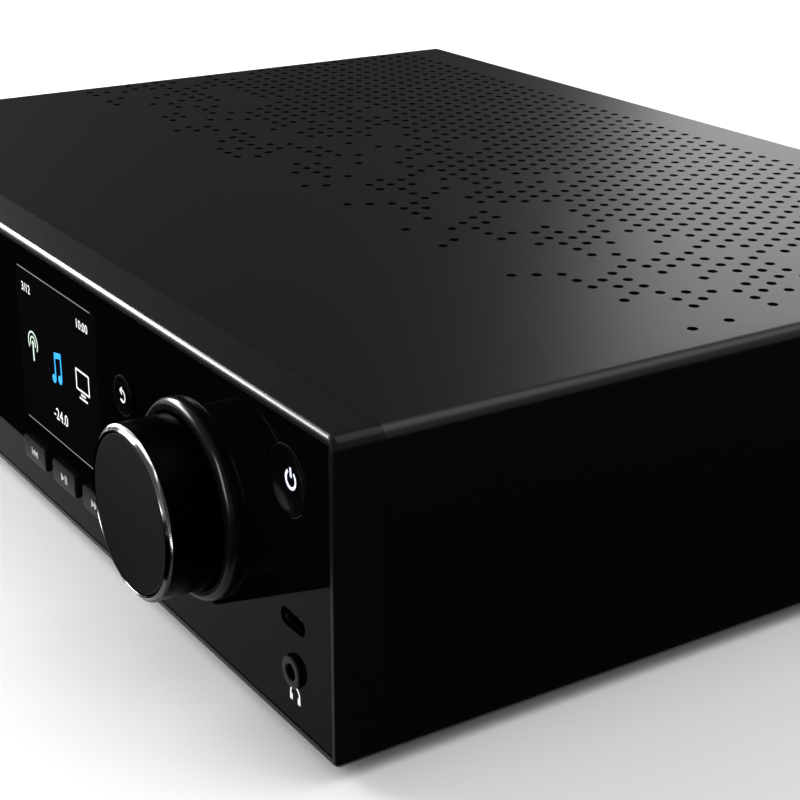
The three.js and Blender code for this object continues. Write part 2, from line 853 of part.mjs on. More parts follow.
const bushingFront = panelFace - bushingReach;
const encoderBack = controlBoardFront - seatGap;
const shaftEnd = encoderBack - shaftBackAir;

function encoderBody() {
  const half = encoderWidth / 2;
  const front = panelBack + seatGap;
  const bore = shaftRadius + shaftClearance;
  return cut(
    join(
      block(knobX - half, knobX + half, front, encoderBack, caseMiddle - half, caseMiddle + half),
      rod(bushingRadius, bushingFront, front + joinDepth, knobX, caseMiddle),
    ),
    rod(bore, bushingFront - cutSpare, encoderBack + cutSpare, knobX, caseMiddle),
  );
}

function encoderNut() {
  const back = panelFace - nutAir;
  const front = back - nutThickness;
  const hole = bushingRadius + nutClearance;
  return cut(
    rod(nutRadius, front, back, knobX, caseMiddle, nutSides),
    rod(hole, front - cutSpare, back + cutSpare, knobX, caseMiddle),
  );
}

// Front sockets

function usbSocket() {
  const stadium = (grow) =>
    rounded(usb.x, usb.z, usbWidth + 2 * grow, usbTall + 2 * grow, usbTall / 2 + grow);
  const front = panelFace + usbSunk;
  const inside = front + usbDepth;
  const back = controlBoardFront - seatGap;
  const tongue = block(
    usb.x - usbTongueWidth / 2,
    usb.x + usbTongueWidth / 2,
    front + joinDepth,
    inside + usbTongueRoot,
    usb.z - usbTongueThickness / 2,
    usb.z + usbTongueThickness / 2,
  );
  const shell = cut(upright(stadium(0), front, back), upright(stadium(-usbWall), front - cutSpare, inside));
  return join(shell, tongue);
}

function headphoneSocket() {
  const half = headphoneBody / 2;
  const nose = panelFace - buttonStand;
  const body = panelBack + seatGap;
  const back = controlBoardFront - seatGap;
  const { x, z } = headphone;
  return cut(
    join(
      rod(headphoneRadius, nose, body + joinDepth, x, z),
      block(x - half, x + half, body, back, z - half + headphoneTrim, z + half - headphoneTrim),
    ),
    rod(headphoneBore, nose - cutSpare, nose + headphoneDepth, x, z, smallSides),
  );
}

// Inside the case

function ribbonCable() {
  const high = caseMiddle + ribbonRise;
  const start = new THREE.Vector2(controlBoardBack + seatGap + ribbonThickness / 2, high);
  const end = new THREE.Vector2(mainBoardFront + ribbonLap, partSeat + ribbonThickness / 2);
  const route = new THREE.CubicBezierCurve(
    start,
    new THREE.Vector2(start.x + ribbonOut, high - ribbonDrop),
    new THREE.Vector2(end.x - ribbonRun, end.y + ribbonLift),
    end,
  );
  const edges = [1, -1].map((side) =>
    Array.from({ length: ribbonSteps + 1 }, (_, index) => {
      const at = route.getPoint(index / ribbonSteps);
      const along = route.getTangent(index / ribbonSteps);
      const out = (side * ribbonThickness) / 2;
      return new THREE.Vector2(at.x - along.y * out, at.y + along.x * out);
    }),
  );
  const shape = new THREE.Shape([...edges[1], ...edges[0].reverse()]);
  return sideways(shape, mainBoardX - ribbonWidth / 2, mainBoardX + ribbonWidth / 2);
}

const chipPlace = { x: mainBoardX, y: mainBoardFront + sinkLength / 2 + sinkFromFront };

function heatSink() {
  const bottom = partSeat + chipHeight + seatGap;
  const { x, y } = chipPlace;
  const finPitch = (sinkWidth - sinkFin) / (sinkFins - 1);
  const fins = Array.from({ length: sinkFins }, (_, index) => {
    const left = x - sinkWidth / 2 + index * finPitch;
    const low = bottom + joinDepth;
    return block(left, left + sinkFin, y - sinkLength / 2, y + sinkLength / 2, low, bottom + sinkHeight);
  });
  return join(standing(x, y, bottom, [sinkWidth, sinkLength, sinkBase]), ...fins);
}

const transformerPlace = { x: supplyBoardX - transformerShift, y: supplyBoardFront + transformerFromFront };

function powerTransformer() {
  const { x, y } = transformerPlace;
  const coreDepth = transformerDepth - 2 * coilBulge;
  const core = standing(x, y, partSeat, [transformerWidth, coreDepth, transformerHeight]);
  const coilTall = transformerHeight - 2 * coilStep;
  const coil = standing(x, y, partSeat + coilStep, [coilWidth, transformerDepth, coilTall]);
  return join(core, coil);
}

function reservoirCapacitor(x, y) {
  const top = partSeat + capacitorHeight;
  const profile = [
    [0, partSeat],
    [capacitorRadius - capacitorEdge, partSeat],
    [capacitorRadius, partSeat + capacitorEdge],
    [capacitorRadius, top - capacitorEdge],
    [capacitorRadius - capacitorEdge, top],
    [0, top],
  ];
  return turnedUp(profile, x, y);
}

// Rear sockets

function mainsInlet() {
  const back = rearFace + socketReach;
  const half = mainsWidth / 2;
  const mouth = rounded(mains.x, mains.z, mainsMouth[0], mainsMouth[1], mainsMouth[1] / 2);
  const pins = [-1, 1].map((side) => {
    const x = mains.x + (side * mainsPinSpacing) / 2;
    const root = back - mainsMouthDepth - joinDepth;
    return rod(mainsPinRadius, root, back - mainsPinSunk, x, mains.z, smallSides);
  });
  const body = block(
    mains.x - half,
    mains.x + half,
    back - mainsDepth,
    back,
    mains.z - mainsTall / 2,
    mains.z + mainsTall / 2,
  );
  const hollow = upright(mouth, back - mainsMouthDepth, back + cutSpare, mouthCurve);
  return join(cut(body, hollow), ...pins);
}

function rcaBlock() {
  const wide = rcaPitch / 2 + rcaMargin;
  const face = rearInner - socketGap;
  const body = block(rca.x - wide, rca.x + wide, face - rcaDepth, face, rca.z - wide, rca.z + wide);
  const end = rearFace + rcaBarrelLength;
  const barrels = rcaPlaces.map(({ x, z }) => rod(rcaBarrel, face - joinDepth, end, x, z, smallSides));
  const bores = rcaPlaces.map(({ x, z }) => rod(rcaBore, face, end + cutSpare, x, z, smallSides / 2));
  return cut(join(body, ...barrels), ...bores);
}

function lanSocket() {
  const back = rearFace + socketReach;
  const body = block(
    lan.x - lanWidth / 2,
    lan.x + lanWidth / 2,
    back - lanDepth,
    back,
    lan.z - lanTall / 2,
    lan.z + lanTall / 2,
  );
  const mouth = block(
    lan.x - lanMouth[0] / 2,
    lan.x + lanMouth[0] / 2,
    back - lanMouthDepth,
    back + cutSpare,
    lan.z - lanMouth[1] / 2,
    lan.z + lanMouth[1] / 2,
  );
  const [latchWidth, latchRise] = lanLatch;
  const latch = block(
    lan.x - latchWidth / 2,
    lan.x + latchWidth / 2,
    back - lanMouthDepth,
    back + cutSpare,
    lan.z,
    lan.z + lanMouth[1] / 2 + latchRise,
  );
  return cut(body, mouth, latch);
}

function antennaSocket() {
  const half = antennaBody / 2;
  const { x, z } = antenna;
  const face = rearInner - socketGap;
  const end = rearFace + antennaLength;
  return cut(
    join(
      block(x - half, x + half, face - antennaBody, face, z - half, z + half),
      rod(antennaRadius, face - joinDepth, end, x, z, smallSides),
    ),
    rod(antennaBore, end - antennaBoreDepth, end + cutSpare, x, z, smallSides / 2),
  );
}

// Speaker terminals: each cap unscrews along its spindle and carries a washer that clamps the wire

function terminalBlock() {
  const wide = terminalHalfSpan + terminalMargin;
  const face = rearFace + seatGap;
  const plate = rounded(terminalX, caseMiddle, 2 * wide, terminalTall, terminalPlateCorner);
  const spindleEnd = rearReach - spindleSunk;
  const posts = terminalPlaces.flatMap(({ x }) => [
    rod(terminalPeg, rearInner - terminalPegLength, face + joinDepth, x, caseMiddle, smallSides),
    rod(terminalBossRadius, face + joinDepth, bossFace, x, caseMiddle),
    rod(spindleRadius, bossFace - joinDepth, spindleEnd, x, caseMiddle),
  ]);
  const boreStart = bossFace + spindleSolid;
  const bores = terminalPlaces.map(({ x }) =>
    rod(spindleBore, boreStart, spindleEnd + cutSpare, x, caseMiddle, smallSides),
  );
  return cut(join(upright(plate, face, face + terminalPlate), ...posts), ...bores);
}

function clampWasher(x) {
  const hole = spindleRadius + threadGap;
  const back = washerFront + washerThickness;
  const profile = [[hole, washerFront], [washerRadius, washerFront], [washerRadius, back], [hole, back]];
  return turned(profile, x, caseMiddle);
}

function terminalCap(x) {
  const pointsPerFlute = 4;
  const count = capFlutes * pointsPerFlute;
  const outline = Array.from({ length: count }, (_, index) => {
    const radius = index % pointsPerFlute < 2 ? capRadius : capRadius - capFluteDepth;
    const angle = (index / count) * 2 * Math.PI;
    return new THREE.Vector2(x + radius * Math.cos(angle), caseMiddle + radius * Math.sin(angle));
  });
  const hole = spindleRadius + threadGap;
  return cut(
    upright(new THREE.Shape(outline), capFront, capFront + capLength),
    rod(hole, capFront - cutSpare, rearReach + cutSpare, x, caseMiddle),
  );
}

// Assembly

addPiece("front_frame", frontFrame(), "frameMetal");
addPiece("front_panel", frontPanel(), "gloss");
addPiece("top_cover", topCover(), "coverSteel");
addPiece("base_tray", baseTray(), "zinc");
addPiece("rear_panel", rearPanel(), "coverSteel");
for (const { name, x, y } of footPlaces) {
  addPiece("foot_" + name, foot(x, y), "rubber");
  addPiece("foot_screw_" + name, footScrew(x, y), "steel");
}

const lensOutline = rounded(displayX, displayZ, displayWidth, displayHeight, displayCornerRadius);
addPiece("display_lens", upright(lensOutline, panelFace, panelFace + lensThickness), "glass");
const moduleOutline = rounded(
  displayX,
  displayZ,
  displayWidth - 2 * moduleMargin,
  displayHeight - 2 * moduleMargin,
  moduleCornerRadius,
);
addPiece("display_module", upright(moduleOutline, moduleFront, moduleBack, smallCurve), "satin");
addPiece("display_bracket", displayBracket(), "nylon");

addPiece("power_button", roundButton(roundButtons[0], panelFace, powerDish), "satin");
addPiece("back_button", roundButton(roundButtons[1], buttonFront, 0), "satin");
for (const button of transportButtons) addPiece(button.name, transportButton(button), "satin");
for (const button of [...roundButtons, ...transportButtons]) {
  addPiece(button.name.replace("button", "switch"), tactSwitch(button), "nylon");
}
addPiece(
  "control_board",
  block(
    controlLeft,
    controlRight,
    controlBoardFront,
    controlBoardBack,
    caseBottom + controlMargin,
    caseTop - controlMargin,
  ),
  "board",
);

addPiece("knob_collar", knobCollar(), "gloss");
addPiece("knob_skirt", knobSkirt(), "satin");
addPiece("knob_rim", knobRim(), "chrome");
addPiece("knob_cap", knobCap(), "knobFace");
addPiece("encoder_shaft", rod(shaftRadius, shaftFront, shaftEnd, knobX, caseMiddle), "steel");
const plungerFront = shaftEnd + plungerStep;
const plunger = rod(shaftRadius - plungerStep, plungerFront, encoderBack - plungerAir, knobX, caseMiddle);
addPiece("encoder_plunger", plunger, "nylon");
addPiece("encoder_body", encoderBody(), "zinc");
addPiece("encoder_nut", encoderNut(), "steel");
addPiece("usb_c_socket", usbSocket(), "steel");
addPiece("headphone_socket", headphoneSocket(), "nylon");

for (const { name, x, width, front } of boards) {
  addPiece(name, block(x - width / 2, x + width / 2, front, boardRear, boardBottom, boardTop), "board");
}
addPiece("ribbon_cable", ribbonCable(), "ribbon");
const chip = standing(chipPlace.x, chipPlace.y, partSeat, [chipSize, chipSize, chipHeight]);
addPiece("amplifier_chip", chip, "nylon");
addPiece("heat_sink", heatSink(), "aluminium");
addPiece("power_transformer", powerTransformer(), "copper");
const capacitorX = transformerPlace.x + transformerWidth / 2 + capacitorRadius + capacitorGap;
const capacitorY = transformerPlace.y - capacitorPitch / 2;
addPiece("reservoir_capacitor_front", reservoirCapacitor(capacitorX, capacitorY), "sleeve");
addPiece("reservoir_capacitor_rear", reservoirCapacitor(capacitorX, capacitorY + capacitorPitch), "sleeve");
const tunerX = fromRight(boardSideMargin + tunerSideGap + tunerSize[0] / 2);
const moduleY = boardRear - lanDepth - moduleToSocket;
addPiece("tuner_module", standing(tunerX, moduleY, partSeat, tunerSize), "zinc");
const networkX = tunerX - tunerSize[0] / 2 - networkSize[0] / 2 - moduleGap;
addPiece("network_module", standing(networkX, moduleY, partSeat, networkSize), "zinc");

addPiece("mains_inlet", mainsInlet(), "nylon");
addPiece("rca_socket_block", rcaBlock(), "nylon");
addPiece("lan_socket", lanSocket(), "zinc");
addPiece("antenna_socket", antennaSocket(), "zinc");
addPiece("speaker_terminal_block", terminalBlock(), "nylon");
for (const { name, x, colour } of terminalPlaces) {
  addPiece("clamp_washer_" + name, clampWasher(x), "gold");
  addPiece("terminal_cap_" + name, terminalCap(x), colour);
}

// The origin is at the middle of the whole object's footprint, on the surface that it stands on.
const assembly = new THREE.Group();
receiver.position.y = -(rimFront + rearReach) / 2;
assembly.add(receiver);

export default assembly;
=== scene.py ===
import json
import math
import random

import bmesh
import bpy
from mathutils import Euler, Matrix, Vector, noise

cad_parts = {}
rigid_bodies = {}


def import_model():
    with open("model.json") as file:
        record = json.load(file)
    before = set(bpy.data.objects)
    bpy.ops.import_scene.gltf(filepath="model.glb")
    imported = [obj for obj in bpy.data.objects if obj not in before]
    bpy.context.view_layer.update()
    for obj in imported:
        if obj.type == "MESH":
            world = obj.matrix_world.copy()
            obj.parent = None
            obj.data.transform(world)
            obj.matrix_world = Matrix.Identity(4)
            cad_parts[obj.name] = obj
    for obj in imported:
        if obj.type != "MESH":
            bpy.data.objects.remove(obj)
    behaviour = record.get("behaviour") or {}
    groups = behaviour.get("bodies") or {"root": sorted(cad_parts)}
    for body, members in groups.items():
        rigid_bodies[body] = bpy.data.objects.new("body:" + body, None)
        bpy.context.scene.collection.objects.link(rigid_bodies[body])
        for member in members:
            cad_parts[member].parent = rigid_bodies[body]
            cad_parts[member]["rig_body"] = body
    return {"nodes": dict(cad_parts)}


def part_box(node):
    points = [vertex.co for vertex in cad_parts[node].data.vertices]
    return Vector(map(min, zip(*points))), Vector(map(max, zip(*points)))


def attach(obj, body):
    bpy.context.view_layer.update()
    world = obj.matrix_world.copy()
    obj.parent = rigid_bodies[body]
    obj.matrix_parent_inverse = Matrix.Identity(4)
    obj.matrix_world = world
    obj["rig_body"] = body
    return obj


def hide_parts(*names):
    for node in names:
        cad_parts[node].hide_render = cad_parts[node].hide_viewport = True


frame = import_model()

scene = bpy.context.scene
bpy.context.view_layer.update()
mm = 0.001
quarter = math.pi / 2
nodes = frame["nodes"]
print("stage: frame loaded with", len(nodes), "nodes")

for name in ("Cube", "Light", "Camera"):
    leftover = bpy.data.objects.get(name)
    if leftover:
        bpy.data.objects.remove(leftover)


# Places that every piece shares, all from the frame
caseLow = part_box("top_cover")[0]
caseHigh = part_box("top_cover")[1]
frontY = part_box("front_frame")[0].y
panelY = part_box("front_panel")[0].y
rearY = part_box("rear_panel")[1].y
weld = 0.002 * mm               # points this close are one
flatAngle = math.radians(1)     # faces that meet flatter than this are one
nothing = 1e-7                  # a rounding error's size


def frontCentre(low, high):
    return Vector(((low.x + high.x) / 2, low.y, (low.z + high.z) / 2))


def footCentre(low, high):
    return Vector(((low.x + high.x) / 2, (low.y + high.y) / 2, low.z))


# Finishes
grainPlan = {
    "coarser": 30,               # the broad grain against the fine one
    "fineDetail": 3,
    "broadDetail": 2,
    "leastRough": 0.01,
    "relief": 0.05 * mm,
    "inkShare": 0.6,             # how dark a mark's own colour is under its glow
    "inkRough": 0.5,
}


def surface(name, colour, rough=0.5, metal=0.0, grain=900, bump=0.0, spread=0.08, tint=0.12,
            stretch=(1, 1, 1), **sockets):
    # One finish: colour and roughness wander with fine grain, and a bump gives it its texture.
    material = bpy.data.materials.new(name)
    material.use_nodes = True
    tree = material.node_tree
    shader = tree.nodes["Principled BSDF"]
    shader.inputs["Metallic"].default_value = metal
    for socket, value in sockets.items():
        shader.inputs[socket.replace("_", " ")].default_value = value
    place = tree.nodes.new("ShaderNodeTexCoord")
    mapping = tree.nodes.new("ShaderNodeMapping")
    mapping.inputs["Scale"].default_value = stretch
    tree.links.new(place.outputs["Object"], mapping.inputs["Vector"])

    fine = tree.nodes.new("ShaderNodeTexNoise")
    fine.inputs["Scale"].default_value = grain
    fine.inputs["Detail"].default_value = grainPlan["fineDetail"]
    tree.links.new(mapping.outputs["Vector"], fine.inputs["Vector"])

    broad = tree.nodes.new("ShaderNodeTexNoise")
    broad.inputs["Scale"].default_value = grain / grainPlan["coarser"]
    broad.inputs["Detail"].default_value = grainPlan["broadDetail"]
    tree.links.new(mapping.outputs["Vector"], broad.inputs["Vector"])

    shade = tree.nodes.new("ShaderNodeMix")
    shade.data_type = "RGBA"
    shade.inputs[6].default_value = [c * (1 - tint) for c in colour] + [1]
    shade.inputs[7].default_value = [min(c * (1 + tint), 1) for c in colour] + [1]
    tree.links.new(broad.outputs["Fac"], shade.inputs[0])
    tree.links.new(shade.outputs[2], shader.inputs["Base Color"])

    polish = tree.nodes.new("ShaderNodeMapRange")
    polish.inputs["To Min"].default_value = max(rough * (1 - spread), grainPlan["leastRough"])
    polish.inputs["To Max"].default_value = min(rough * (1 + spread), 1)
    tree.links.new(fine.outputs["Fac"], polish.inputs["Value"])
    tree.links.new(polish.outputs["Result"], shader.inputs["Roughness"])

    if bump:
        relief = tree.nodes.new("ShaderNodeBump")
        relief.inputs["Strength"].default_value = bump
        relief.inputs["Distance"].default_value = grainPlan["relief"]
        tree.links.new(fine.outputs["Fac"], relief.inputs["Height"])
        tree.links.new(relief.outputs["Normal"], shader.inputs["Normal"])
    return material


def lit(name, colour, strength):
    # A printed or glowing mark.
    base = [c * grainPlan["inkShare"] for c in colour]
    return surface(name, base, grainPlan["inkRough"], Emission_Color=[*colour, 1],
                   Emission_Strength=strength)


finishes = {
    "coverSteel": surface("powderCoatedSteel", (0.0009, 0.0009, 0.001), 0.34, grain=2600, bump=0.25,
                          Specular_IOR_Level=0.25),
    "frameMetal": surface("anodisedFrame", (0.002, 0.002, 0.0021), 0.27, grain=2000, bump=0.02,
                          Specular_IOR_Level=0.12),
    "panelGloss": surface("glossPanel", (0.0011, 0.0011, 0.0012), 0.035, grain=300, spread=0.3,
                          Specular_IOR_Level=0.02),
    "lensGlass": surface("displayGlass", (0.002, 0.0021, 0.0024), 0.02, grain=300, spread=0.3,
                         Specular_IOR_Level=0.03),
    "buttonPlastic": surface("buttonPlastic", (0.004, 0.004, 0.0042), 0.25, grain=1800, bump=0.1,
                             Specular_IOR_Level=0.12),
    "buttonGloss": surface("glossButton", (0.0016, 0.0016, 0.0018), 0.12, grain=900,
                           Specular_IOR_Level=0.06),
    "jackBlack": surface("jackPlastic", (0.001, 0.001, 0.001), 0.3, grain=1500, bump=0.1,
                         Specular_IOR_Level=0.12),
    "knobBlack": surface("knobFlank", (0.0004, 0.0004, 0.0004), 0.3, grain=1500, bump=0.1,
                         Specular_IOR_Level=0.01),
    "knobFace": surface("knobFace", (0.0115, 0.0115, 0.012), 0.42, 0.3, grain=2400, bump=0.3,
                        Specular_IOR_Level=0.3),
    "chrome": surface("darkChrome", (0.08, 0.08, 0.082), 0.12, 1.0, grain=500, spread=0.25),
    "collarGloss": surface("collarGloss", (0.001, 0.001, 0.0011), 0.22, grain=900, spread=0.2,
                           Specular_IOR_Level=0.09),
    "steelParts": surface("plainSteel", (0.46, 0.47, 0.49), 0.3, 1.0, grain=700, bump=0.1,
                          stretch=(1, 5, 1)),
    "zincSteel": surface("zincPlatedSteel", (0.36, 0.38, 0.4), 0.42, 0.9, grain=160, spread=0.25,
                         tint=0.25),
    "sinkAluminium": surface("extrudedAluminium", (0.55, 0.56, 0.58), 0.38, 1.0, grain=500, bump=0.2,
                             stretch=(6, 0.4, 6)),
    "boardGreen": surface("circuitBoard", (0.012, 0.07, 0.035), 0.4, grain=700, tint=0.3, bump=0.2),
    "switchPlastic": surface("switchPlastic", (0.02, 0.02, 0.021), 0.5, grain=1400, bump=0.2),
    "socketPlastic": surface("socketPlastic", (0.011, 0.011, 0.012), 0.42, grain=1500, bump=0.25),
    "terminalBlack": surface("terminalBlack", (0.012, 0.012, 0.013), 0.28, grain=900, bump=0.08),
    "terminalRed": surface("terminalRed", (0.42, 0.012, 0.014), 0.26, grain=900, bump=0.08),
    "goldPlate": surface("goldPlate", (0.83, 0.55, 0.22), 0.2, 1.0, grain=600, spread=0.25),
    "capacitorSleeve": surface("capacitorSleeve", (0.02, 0.025, 0.04), 0.3, grain=500),
    "transformerIron": surface("transformerIron", (0.09, 0.075, 0.06), 0.5, 0.6, grain=2500, bump=0.3,
                               stretch=(1, 1, 8)),
    "ribbonGrey": surface("ribbonCable", (0.5, 0.5, 0.48), 0.45, grain=900, bump=0.2,
                          stretch=(8, 0.2, 0.2)),
    "chipPlastic": surface("chipPlastic", (0.014, 0.014, 0.015), 0.6, grain=2600, bump=0.4),
    "footRubber": surface("footRubber", (0.011, 0.011, 0.011), 0.8, grain=1600, bump=0.5, spread=0.1,
                          Specular_IOR_Level=0.3),
    "bracketPlastic": surface("bracketPlastic", (0.025, 0.025, 0.027), 0.55, grain=1200, bump=0.2),
    "insulatorWhite": surface("insulatorWhite", (0.7, 0.69, 0.66), 0.35, grain=700),
    "insulatorRed": surface("insulatorRed", (0.5, 0.02, 0.02), 0.35, grain=700),
    "markWhite": lit("markWhite", (0.86, 0.87, 0.88), 0.55),
    "markDim": lit("markDim", (0.62, 0.62, 0.63), 0.2),
    "powerGlow": lit("powerGlow", (0.8, 0.82, 1.0), 0.9),
    # painted highlight: a faintly glowing grey for the light caught along the display glass's top and bottom
    # edges
    "paintedGlintGrey": lit("paintedGlintGrey", (0.5, 0.5, 0.5), 0.08),
    "screenGreen": lit("screenPale", (0.62, 0.78, 0.66), 0.7),
    "screenBlue": lit("screenBlue", (0.02, 0.33, 0.72), 1.1),
    "screenWhite": lit("screenWhite", (0.84, 0.86, 0.84), 0.75),
}
print("stage: finishes made,", len(finishes))

# CAD nodes that keep their own shape, each with its finish
carriedOver = {
    "coverSteel": ["rear_panel"],
    "panelGloss": ["front_panel"],
    "bracketPlastic": ["display_bracket", "display_module"],
    "steelParts": ["encoder_shaft", "encoder_nut"],
    "zincSteel": ["base_tray", "encoder_body", "tuner_module", "network_module"],
    "sinkAluminium": ["heat_sink"],
    "boardGreen": ["control_board", "main_board", "supply_board"],
    "switchPlastic": ["encoder_plunger", "power_switch", "back_switch", "previous_switch",
                      "play_switch", "next_switch"],
    "transformerIron": ["power_transformer"],
    "ribbonGrey": ["ribbon_cable"],
    "chipPlastic": ["amplifier_chip"],
}
for finish, names in carriedOver.items():
    for name in names:
        nodes[name].data.materials.clear()
        nodes[name].data.materials.append(finishes[finish])


# Making and finishing a piece

def addPiece(name, bm, finish, body, stands=(), slot=None, smooth=38):
    mesh = bpy.data.meshes.new(name)
    bm.to_mesh(mesh)
    bm.free()
    mesh.shade_smooth()
    mesh.set_sharp_from_angle(angle=math.radians(smooth))
    mesh.materials.append(finishes[finish])
    piece = bpy.data.objects.new(name, mesh)
    scene.collection.objects.link(piece)
    flat = piece.modifiers.new("flatFaces", "WEIGHTED_NORMAL")
    flat.weight = 100
    flat.keep_sharp = True
    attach(piece, body)
    if stands:
        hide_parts(*stands)
    return piece


def bodyOf(name):
    return nodes[name]["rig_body"]


def merged(bm):
    bmesh.ops.remove_doubles(bm, verts=bm.verts, dist=weld)
    bmesh.ops.recalc_face_normals(bm, faces=bm.faces)


def arc(centre, radius, start, end, steps):
    # points (radius, along) of a round stretch of an outline
    angles = [start + (end - start) * step / steps for step in range(steps + 1)]
    return [(centre[0] + radius * math.cos(a), centre[1] + radius * math.sin(a)) for a in angles]


def turn(bm, outline, centre, steps=64, upright=False, closed=True):
    # An outline of (radius, along) points turned about a line along Y, or an upright one, through centre.
    axis = Vector((0, 0, 1)) if upright else Vector((0, 1, 0))
    verts = [bm.verts.new(centre + Vector((radius, 0, 0)) + axis * along) for radius, along in outline]
    edges = [bm.edges.new(pair) for pair in zip(verts, verts[1:])]
    if closed:
        edges.append(bm.edges.new((verts[-1], verts[0])))
    bmesh.ops.spin(bm, geom=verts + edges, cent=centre, axis=axis, angle=2 * math.pi, steps=steps,
                   use_merge=True)


def turnedPiece(name, outline, centre, finish, body, steps=64, upright=False, closed=True, **kept):
    bm = bmesh.new()
    turn(bm, outline, centre, steps, upright, closed)
    merged(bm)
    return addPiece(name, bm, finish, body, **kept)


def slab(bm, centre, size, corner, depth, edge=0.0, edgeSteps=3, cornerSteps=6):
    # A rounded rectangle facing the front, made solid towards the back. Its front rim is rounded.
    face = bmesh.ops.create_grid(bm, x_segments=1, y_segments=1, size=0.5)["verts"]
    bmesh.ops.scale(bm, vec=(size[0], size[1], 1), verts=face)
    bmesh.ops.rotate(bm, cent=(0, 0, 0), matrix=Matrix.Rotation(quarter, 3, "X"), verts=face)
    bmesh.ops.translate(bm, vec=centre, verts=face)
    rounded = bmesh.ops.bevel(bm, geom=face, offset=corner, offset_type="OFFSET", affect="VERTICES",
                              segments=cornerSteps, profile=0.5, material=-1)
    front = max((f for v in rounded["verts"] for f in v.link_faces), key=lambda f: len(f.verts))
    grown = bmesh.ops.extrude_face_region(bm, geom=[front])["geom"]
    moved = [v for v in grown if isinstance(v, bmesh.types.BMVert)]
    bmesh.ops.translate(bm, vec=(0, depth, 0), verts=moved)
    if edge:
        rim = [e for e in bm.edges if all(abs(v.co.y - centre[1]) < nothing for v in e.verts)
               and abs(middleOf(e).x - centre[0]) <= size[0] and abs(middleOf(e).z - centre[2]) <= size[1]]
        bmesh.ops.bevel(bm, geom=rim, offset=edge, offset_type="OFFSET", affect="EDGES",
                        segments=edgeSteps, profile=0.5, material=-1)


def middleOf(edge):
    return (edge.verts[0].co + edge.verts[1].co) / 2


def copyOf(name, soften=0.0, steps=2, limit=50):
    # A CAD piece's own shape, its triangles joined into faces and its sharp edges broken.
    bm = bmesh.new()
    bm.from_mesh(nodes[name].data)
    bmesh.ops.remove_doubles(bm, verts=bm.verts, dist=weld)
    bmesh.ops.dissolve_limit(bm, angle_limit=flatAngle, verts=bm.verts, edges=bm.edges)
    if soften:
        sharp = [e for e in bm.edges if len(e.link_faces) == 2 and e.calc_face_angle() > math.radians(limit)]
        bmesh.ops.bevel(bm, geom=sharp, offset=soften, offset_type="OFFSET", affect="EDGES",
                        segments=steps, profile=0.5, material=-1, clamp_overlap=True)
    return bm


# Top cover: one folded sheet with its field of round holes

coverPlan = {
    "bend": 2.8 * mm,
    "lowerBend": 2.0 * mm,
    "flange": 9 * mm,
    "thickness": 1.2 * mm,
    "rows": 26,
    "fullRows": 12,
    "lastRows": 2,
    "dense": 0.66,           # the share of holes just in front of the full rows
    "fade": 0.17,            # and what it loses on the way to the last rows
    "last": 0.34,
    "clearEnd": 40 * mm,     # the field thins out again this close to the right side
    "endFade": 0.5,
    "rowPitch": 5.18 * mm,
    "halfCells": 109,
    "holeRadius": 1.25 * mm,
    "rearMargin": 13.4 * mm,
    "lead": 0.42 * mm,       # how far the sheet reaches into the seam behind the front frame
    "seed": 1283,
    "clusterSize": 15 * mm,
    "chanceShare": 0.55,     # how much chance decides on a hole, and how much its cluster
    "clusterShare": 0.45,
    "holeSides": 16,
    "cellCuts": 3,
    "bendSteps": 8,
    "lowerBendSteps": 5,
    "cellWeld": 0.01 * mm,
    "rimReach": 0.02 * mm,   # how near an edge lies to a line to belong to it
}


def holeCell(bm, width, depth, plan):
    # A rectangle with as many points round it as the round hole that it is bridged to.
    bmesh.ops.create_circle(bm, cap_ends=False, radius=plan["holeRadius"], segments=plan["holeSides"])
    ringEdges = bm.edges[:]
    border = bmesh.ops.create_circle(bm, cap_ends=False, radius=math.sqrt(0.5), segments=4)["verts"]
    borderEdges = [e for e in bm.edges if e not in set(ringEdges)]
    bmesh.ops.rotate(bm, cent=(0, 0, 0), matrix=Matrix.Rotation(quarter / 2, 3, "Z"), verts=border)
    bmesh.ops.scale(bm, vec=(width, depth, 1), verts=border)
    bmesh.ops.subdivide_edges(bm, edges=borderEdges, cuts=plan["cellCuts"])
    bmesh.ops.bridge_loops(bm, edges=bm.edges)


def plainCell(bm, width, depth, across, plan):
    # The same rectangle with no hole; a half cell has half the points across.
    grid = bmesh.ops.create_grid(bm, x_segments=1, y_segments=1, size=0.5)["verts"]
    bmesh.ops.scale(bm, vec=(width, depth, 1), verts=grid)
    level = [e for e in bm.edges if abs(e.verts[0].co.y - e.verts[1].co.y) < nothing]
    steep = [e for e in bm.edges if e not in set(level)]
    bmesh.ops.subdivide_edges(bm, edges=steep, cuts=plan["cellCuts"])
    bmesh.ops.subdivide_edges(bm, edges=level, cuts=across)


def hasHole(x, y, row, plan, dice):
    # Full rows at the rear, then ever fewer holes in loose clusters towards the front.
    chance = dice.random()
    if row < plan["fullRows"]:
        return True
    lastFull = plan["rows"] - plan["lastRows"]
    share = (row - plan["fullRows"]) / (lastFull - plan["fullRows"])
    limit = plan["dense"] - plan["fade"] * share if row < lastFull else plan["last"]
    end = max(x - caseHigh.x + plan["clearEnd"], 0) / plan["clearEnd"]
    cluster = noise.noise(Vector((x, y, plan["seed"])) / plan["clusterSize"])
    score = plan["chanceShare"] * chance + plan["clusterShare"] * (0.5 + cluster)
    return score < limit - plan["endFade"] * end * share


